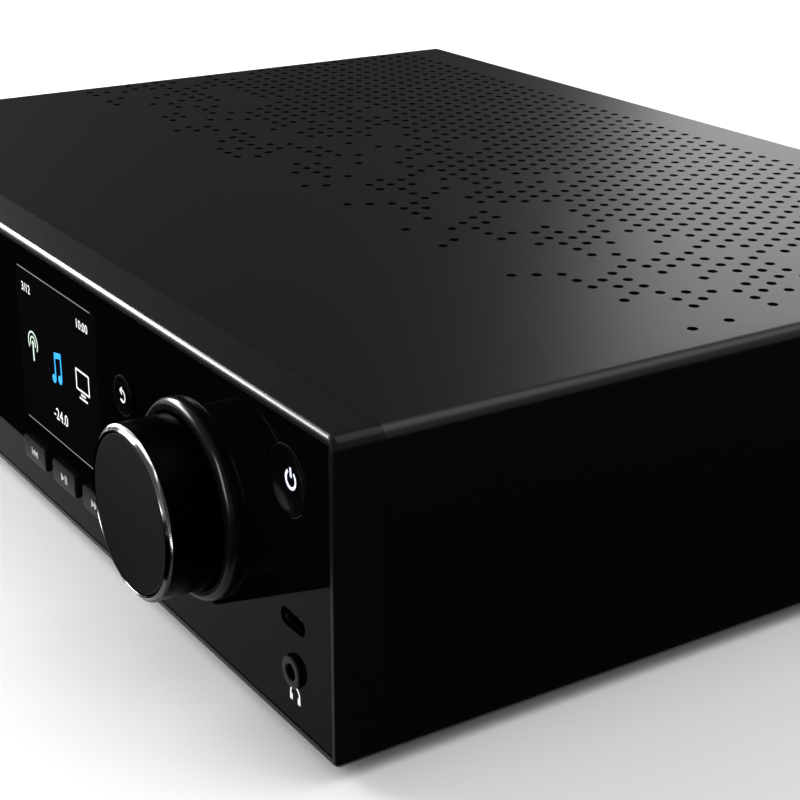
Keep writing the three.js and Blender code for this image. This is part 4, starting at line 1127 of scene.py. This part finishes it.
rcaSockets(rcaPlan)
lanSocket(lanPlan)
antennaSocket(antennaPlan)
mainsInlet(inletPlan)
addPiece("terminalBlock", copyOf("speaker_terminal_block"), "socketPlastic", "case",
         ["speaker_terminal_block"], "socket_plastic")
for terminal, tag in terminalNames.items():
    terminalCap("terminal_cap_" + terminal, tag, terminalPlan)
    clampWasher("clamp_washer_" + terminal, tag, terminalPlan)
print("stage: rear sockets and terminals")


# Feet and screws
footPlan = {
    "edge": 0.5 * mm,
    "groove": 0.4 * mm,
    "grooveShares": (0.55, 0.57, 0.62, 0.64),    # of the foot's radius: the groove's mouth and floor
    "hole": 2.1 * mm,
    "recess": 3.9 * mm,
    "shoulder": 2.5 * mm,
}


def foot(node, tag, plan):
    low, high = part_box(node)
    centre = footCentre(low, high)
    radius = (high.x - low.x) / 2
    top = high.z - low.z
    edge = plan["edge"]
    mouthIn, floorIn, floorOut, mouthOut = (radius * share for share in plan["grooveShares"])
    outline = [(plan["recess"], 0), (mouthIn, 0), (floorIn, plan["groove"]), (floorOut, plan["groove"]),
               (mouthOut, 0)]
    outline += arc((radius - edge, edge), edge, -quarter, 0, 5)
    outline += [(radius, top), (plan["hole"], top), (plan["hole"], plan["shoulder"]),
                (plan["recess"], plan["shoulder"])]
    turnedPiece("foot" + tag, outline, centre, "footRubber", "case", 64, upright=True, stands=[node],
                slot="foot_rubber")


screwPlan = {
    "recessFloor": 0.45,      # shares of the head's radius
    "recessMouth": 0.5,
    "domeMiddle": 0.62,
    "recessDepth": 0.25,      # shares of its height: the recess's floor, from the seat
    "domeHeight": 0.45,
    "domeRadius": 0.5,
    "rimHeight": 0.3,
    "domeEnd": 0.2,           # radians above level, where the dome meets the rim
    "steps": 24,
}


def screwHead(bm, centre, radius, height, way, plan):
    # A domed head with a round recess. way is the direction that the head faces.
    recess = plan["recessDepth"] * height
    dome = (plan["domeMiddle"] * radius, height * plan["domeHeight"])
    outline = [(plan["recessFloor"] * radius, recess), (plan["recessMouth"] * radius, height)]
    outline += arc(dome, plan["domeRadius"] * height, quarter, plan["domeEnd"], 3)
    outline += [(radius, height * plan["rimHeight"]), (radius, 0), (0, 0), (0, recess)]
    turn(bm, outline, Vector((0, 0, 0)), plan["steps"])
    turned = Vector((0, 1, 0)).rotation_difference(Vector(way)).to_matrix()
    bmesh.ops.rotate(bm, cent=(0, 0, 0), matrix=turned, verts=bm.verts)
    bmesh.ops.translate(bm, vec=centre, verts=bm.verts)


footScrewPlan = {"head": 1.4 * mm, "shank": 1.8 * mm}


def footScrew(node, tag, plan):
    low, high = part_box(node)
    centre = footCentre(low, high)
    radius = (high.x - low.x) / 2
    seat = Vector((centre.x, centre.y, low.z + plan["head"]))
    length = high.z - low.z - plan["head"]
    bm = bmesh.new()
    screwHead(bm, seat, radius, plan["head"], (0, 0, -1), screwPlan)
    turn(bm, [(0, 0), (plan["shank"], 0), (plan["shank"], length), (0, length)], seat,
         screwPlan["steps"], upright=True, closed=False)
    merged(bm)
    addPiece("footScrew" + tag, bm, "steelParts", "case", [node], "steel_parts", smooth=30)


feet = {"front_left": "FrontLeft", "front_right": "FrontRight", "rear_left": "RearLeft",
        "rear_right": "RearRight"}
for place, tag in feet.items():
    foot("foot_" + place, tag, footPlan)
    footScrew("foot_screw_" + place, tag, footScrewPlan)

rearScrewPlan = {"radius": 2.6 * mm, "height": 1.0 * mm, "inset": 9 * mm, "rise": 6 * mm, "columns": 4}


def rearScrews(plan):
    low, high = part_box("rear_panel")
    span = high.x - low.x - 2 * plan["inset"]
    for row, z in (("Low", low.z + plan["rise"]), ("High", high.z - plan["rise"])):
        for column in range(plan["columns"]):
            x = low.x + plan["inset"] + span * column / (plan["columns"] - 1)
            bm = bmesh.new()
            screwHead(bm, Vector((x, rearY, z)), plan["radius"], plan["height"], (0, 1, 0), screwPlan)
            merged(bm)
            addPiece("rearScrew" + row + str(column + 1), bm, "steelParts", "case", smooth=30)


rearScrews(rearScrewPlan)
print("stage: feet and screws")


# Inside: capacitors
capacitorPlan = {
    "edge": 0.8 * mm,
    "neck": (2.2 * mm, 2.7 * mm, 3.2 * mm),    # heights of the groove round the can
    "neckDepth": 0.5 * mm,
    "ventShares": (0.8, 0.78),                 # of the radius: the sunk top
    "ventDepth": 0.3 * mm,
}


def capacitor(node, tag, plan):
    low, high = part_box(node)
    centre = footCentre(low, high)
    radius = (high.x - low.x) / 2
    height = high.z - low.z
    edge = plan["edge"]
    neckLow, neckMiddle, neckHigh = plan["neck"]
    brim, well = (radius * share for share in plan["ventShares"])
    sunk = height - plan["ventDepth"]
    outline = [(0, 0)] + arc((radius - edge, edge), edge, -quarter, 0, 4)
    outline += [(radius, neckLow), (radius - plan["neckDepth"], neckMiddle), (radius, neckHigh)]
    outline += arc((radius - edge, height - edge), edge, 0, quarter, 4)
    outline += [(brim, height), (well, sunk), (0, sunk)]
    turnedPiece("capacitor" + tag, outline, centre, "capacitorSleeve", "case", 48, upright=True,
                closed=False, stands=[node], slot="capacitor_sleeve")


capacitor("reservoir_capacitor_front", "Front", capacitorPlan)
capacitor("reservoir_capacitor_rear", "Rear", capacitorPlan)
print("stage: inside")


# Floor, lights, camera
stagePlan = {
    "floorSize": 9.0,
    "floorCells": 24,
    "floorColour": (0.86, 0.86, 0.87),
    "skyPale": (0.66, 0.66, 0.66),
    "skyDark": (0.07, 0.07, 0.07),
    "darkTurn": 57,        # degrees round from +Y towards -X
    "darkRise": 19,
    "darkInner": 10,       # the dark patch is full inside this many degrees and gone outside the next
    "darkOuter": 46,
}

# Black cards lie on the floor beside the front and the right side. Only reflections show them.
cardPlan = {
    "height": 0.4 * mm,
    "frontGap": 13 * mm,     # from the front to the card
    "frontStop": 78 * mm,    # from the right side to the card's end
    "frontLean": 0.26,       # how far that end leans, as a share of its length
    "frontDepth": 150 * mm,
    "cornerLean": -1.35,
    "nearStart": 26 * mm,    # the near card, from the right side and from the front
    "nearStop": 78 * mm,
    "nearGap": 50 * mm,
    "nearDepth": 300 * mm,
    "sideGap": 1 * mm,
    "sideFront": 450 * mm,
    "reach": 900 * mm,
}


def heading(turned, rise):
    a, e = math.radians(turned), math.radians(rise)
    return Vector((-math.sin(a) * math.cos(e), math.cos(a) * math.cos(e), math.sin(e)))


def floor(plan):
    bm = bmesh.new()
    bmesh.ops.create_grid(bm, x_segments=plan["floorCells"], y_segments=plan["floorCells"],
                          size=plan["floorSize"] / 2)
    mesh = bpy.data.meshes.new("studioFloor")
    bm.to_mesh(mesh)
    bm.free()
    mesh.materials.append(surface("floorPaper", plan["floorColour"], 0.6, grain=40, tint=0.015, spread=0.05,
                                  Specular_IOR_Level=0.15))
    ground = bpy.data.objects.new("studioFloor", mesh)
    scene.collection.objects.link(ground)


def sky(plan):
    world = bpy.data.worlds.new("studioSky")
    scene.world = world
    world.use_nodes = True
    tree = world.node_tree
    background = tree.nodes["Background"]
    place = tree.nodes.new("ShaderNodeTexCoord")
    facing = tree.nodes.new("ShaderNodeVectorMath")
    facing.operation = "DOT_PRODUCT"
    facing.inputs[1].default_value = heading(plan["darkTurn"], plan["darkRise"])
    tree.links.new(place.outputs["Generated"], facing.inputs[0])
    blend = tree.nodes.new("ShaderNodeMapRange")
    blend.interpolation_type = "SMOOTHSTEP"
    blend.inputs["From Min"].default_value = math.cos(math.radians(plan["darkOuter"]))
    blend.inputs["From Max"].default_value = math.cos(math.radians(plan["darkInner"]))
    tree.links.new(facing.outputs["Value"], blend.inputs["Value"])
    mix = tree.nodes.new("ShaderNodeMix")
    mix.data_type = "RGBA"
    mix.inputs[6].default_value = [*plan["skyPale"], 1]
    mix.inputs[7].default_value = [*plan["skyDark"], 1]
    tree.links.new(blend.outputs["Result"], mix.inputs[0])
    tree.links.new(mix.outputs[2], background.inputs["Color"])


def softbox(name, turned, rise, distance, width, height, watts, diffuse=True, glossy=True, targets=()):
    # A rectangular lamp aimed at the object. It lights only its targets, where it has any.
    data = bpy.data.lights.new(name, "AREA")
    data.shape = "RECTANGLE"
    data.size = width
    data.size_y = height
    data.energy = watts
    lamp = bpy.data.objects.new(name, data)
    lamp.location = heading(turned, rise) * distance
    lamp.rotation_euler = heading(turned, rise).to_track_quat("Z", "Y").to_euler()
    lamp.visible_diffuse = diffuse
    lamp.visible_glossy = glossy
    if targets:
        group = bpy.data.collections.new(name + "Targets")
        for target in targets:
            group.objects.link(bpy.data.objects[target])
        lamp.light_linking.receiver_collection = group
    scene.collection.objects.link(lamp)


def card(name, low, high, plan, lean=0.0):
    bm = bmesh.new()
    corners = bmesh.ops.create_grid(bm, x_segments=1, y_segments=1, size=0.5)["verts"]
    bmesh.ops.scale(bm, vec=(high[0] - low[0], high[1] - low[1], 1), verts=corners)
    middle = ((low[0] + high[0]) / 2, (low[1] + high[1]) / 2, plan["height"])
    bmesh.ops.translate(bm, vec=middle, verts=corners)
    for corner in corners:
        corner.co.x += lean * (high[1] - corner.co.y)
    mesh = bpy.data.meshes.new(name)
    bm.to_mesh(mesh)
    bm.free()
    mesh.materials.append(surface(name, (0.0, 0.0, 0.0), 1.0, grain=40, Specular_IOR_Level=0.0))
    board = bpy.data.objects.new(name, mesh)
    board.visible_camera = False
    board.visible_diffuse = False
    board.visible_shadow = False
    scene.collection.objects.link(board)


def cards(plan):
    front = frontY - plan["frontGap"]
    near = frontY - plan["nearGap"]
    card("frontCard", (caseLow.x - plan["reach"], front - plan["frontDepth"]),
         (caseHigh.x - plan["frontStop"], front), plan, plan["frontLean"])
    card("cornerCard", (caseHigh.x - plan["sideGap"], frontY - plan["frontDepth"]),
         (caseHigh.x + plan["reach"], frontY), plan, plan["cornerLean"])
    card("nearCard", (caseHigh.x - plan["nearStop"], near - plan["nearDepth"]),
         (caseHigh.x - plan["nearStart"], near), plan)
    card("sideCard", (caseHigh.x + plan["sideGap"], frontY - plan["sideFront"]),
         (caseHigh.x + plan["reach"], caseHigh.y + plan["reach"]), plan)


# Each lamp's place is two angles and a distance. Angles turn from +Y towards -X and rise from level.
lamps = {
    "overheadBox": {"turned": -36, "rise": 60, "distance": 1.5, "width": 1.1, "height": 1.1, "watts": 9},
    "rearBox": {"turned": 27, "rise": 16, "distance": 2.0, "width": 1.45, "height": 0.9, "watts": 9.3},
    "edgeBox": {"turned": 113, "rise": 23, "distance": 1.6, "width": 1.5, "height": 0.75, "watts": 40,
                "glossy": False},
    "edgeSheen": {"turned": 113, "rise": 23, "distance": 1.6, "width": 1.5, "height": 0.75, "watts": 16,
                  "diffuse": False},
    "edgeGlow": {"turned": 113, "rise": 23, "distance": 1.58, "width": 1.5, "height": 0.5, "watts": 115,
                 "targets": ["frontFrame", "knobCollar", "knobRimKnurled"]},
    "ringBox": {"turned": 204, "rise": 20, "distance": 1.4, "width": 0.34, "height": 0.85, "watts": 34,
                "targets": ["knobRimKnurled", "knobCollar"]},
}

floor(stagePlan)
sky(stagePlan)
cards(cardPlan)
for name, settings in lamps.items():
    softbox(name, **settings)

cameraPlan = {
    "corner": Vector((249.1, -146.8, 192.4)) * mm,   # from the case's front lower right corner
    "turned": 57.147,
    "tilt": 21.648,
    "roll": 0.181,
    "lens": 78.83,
    "sensor": 36,
    "nearest": 0.01,
    "farthest": 50,
}


def viewCamera(plan):
    data = bpy.data.cameras.new("viewCamera")
    data.lens = plan["lens"]
    data.sensor_width = plan["sensor"]
    data.clip_start = plan["nearest"]
    data.clip_end = plan["farthest"]
    camera = bpy.data.objects.new("viewCamera", data)
    turned = Euler((math.radians(90 - plan["tilt"]), 0, math.radians(plan["turned"]))).to_matrix()
    rolled = turned @ Matrix.Rotation(math.radians(plan["roll"]), 3, "Z")
    place = Vector((caseHigh.x, frontY, caseLow.z)) + plan["corner"]
    camera.matrix_world = Matrix.Translation(place) @ rolled.to_4x4()
    scene.collection.objects.link(camera)
    scene.camera = camera


viewCamera(cameraPlan)
scene.view_settings.view_transform = "Standard"
print("stage: floor, lights and camera")
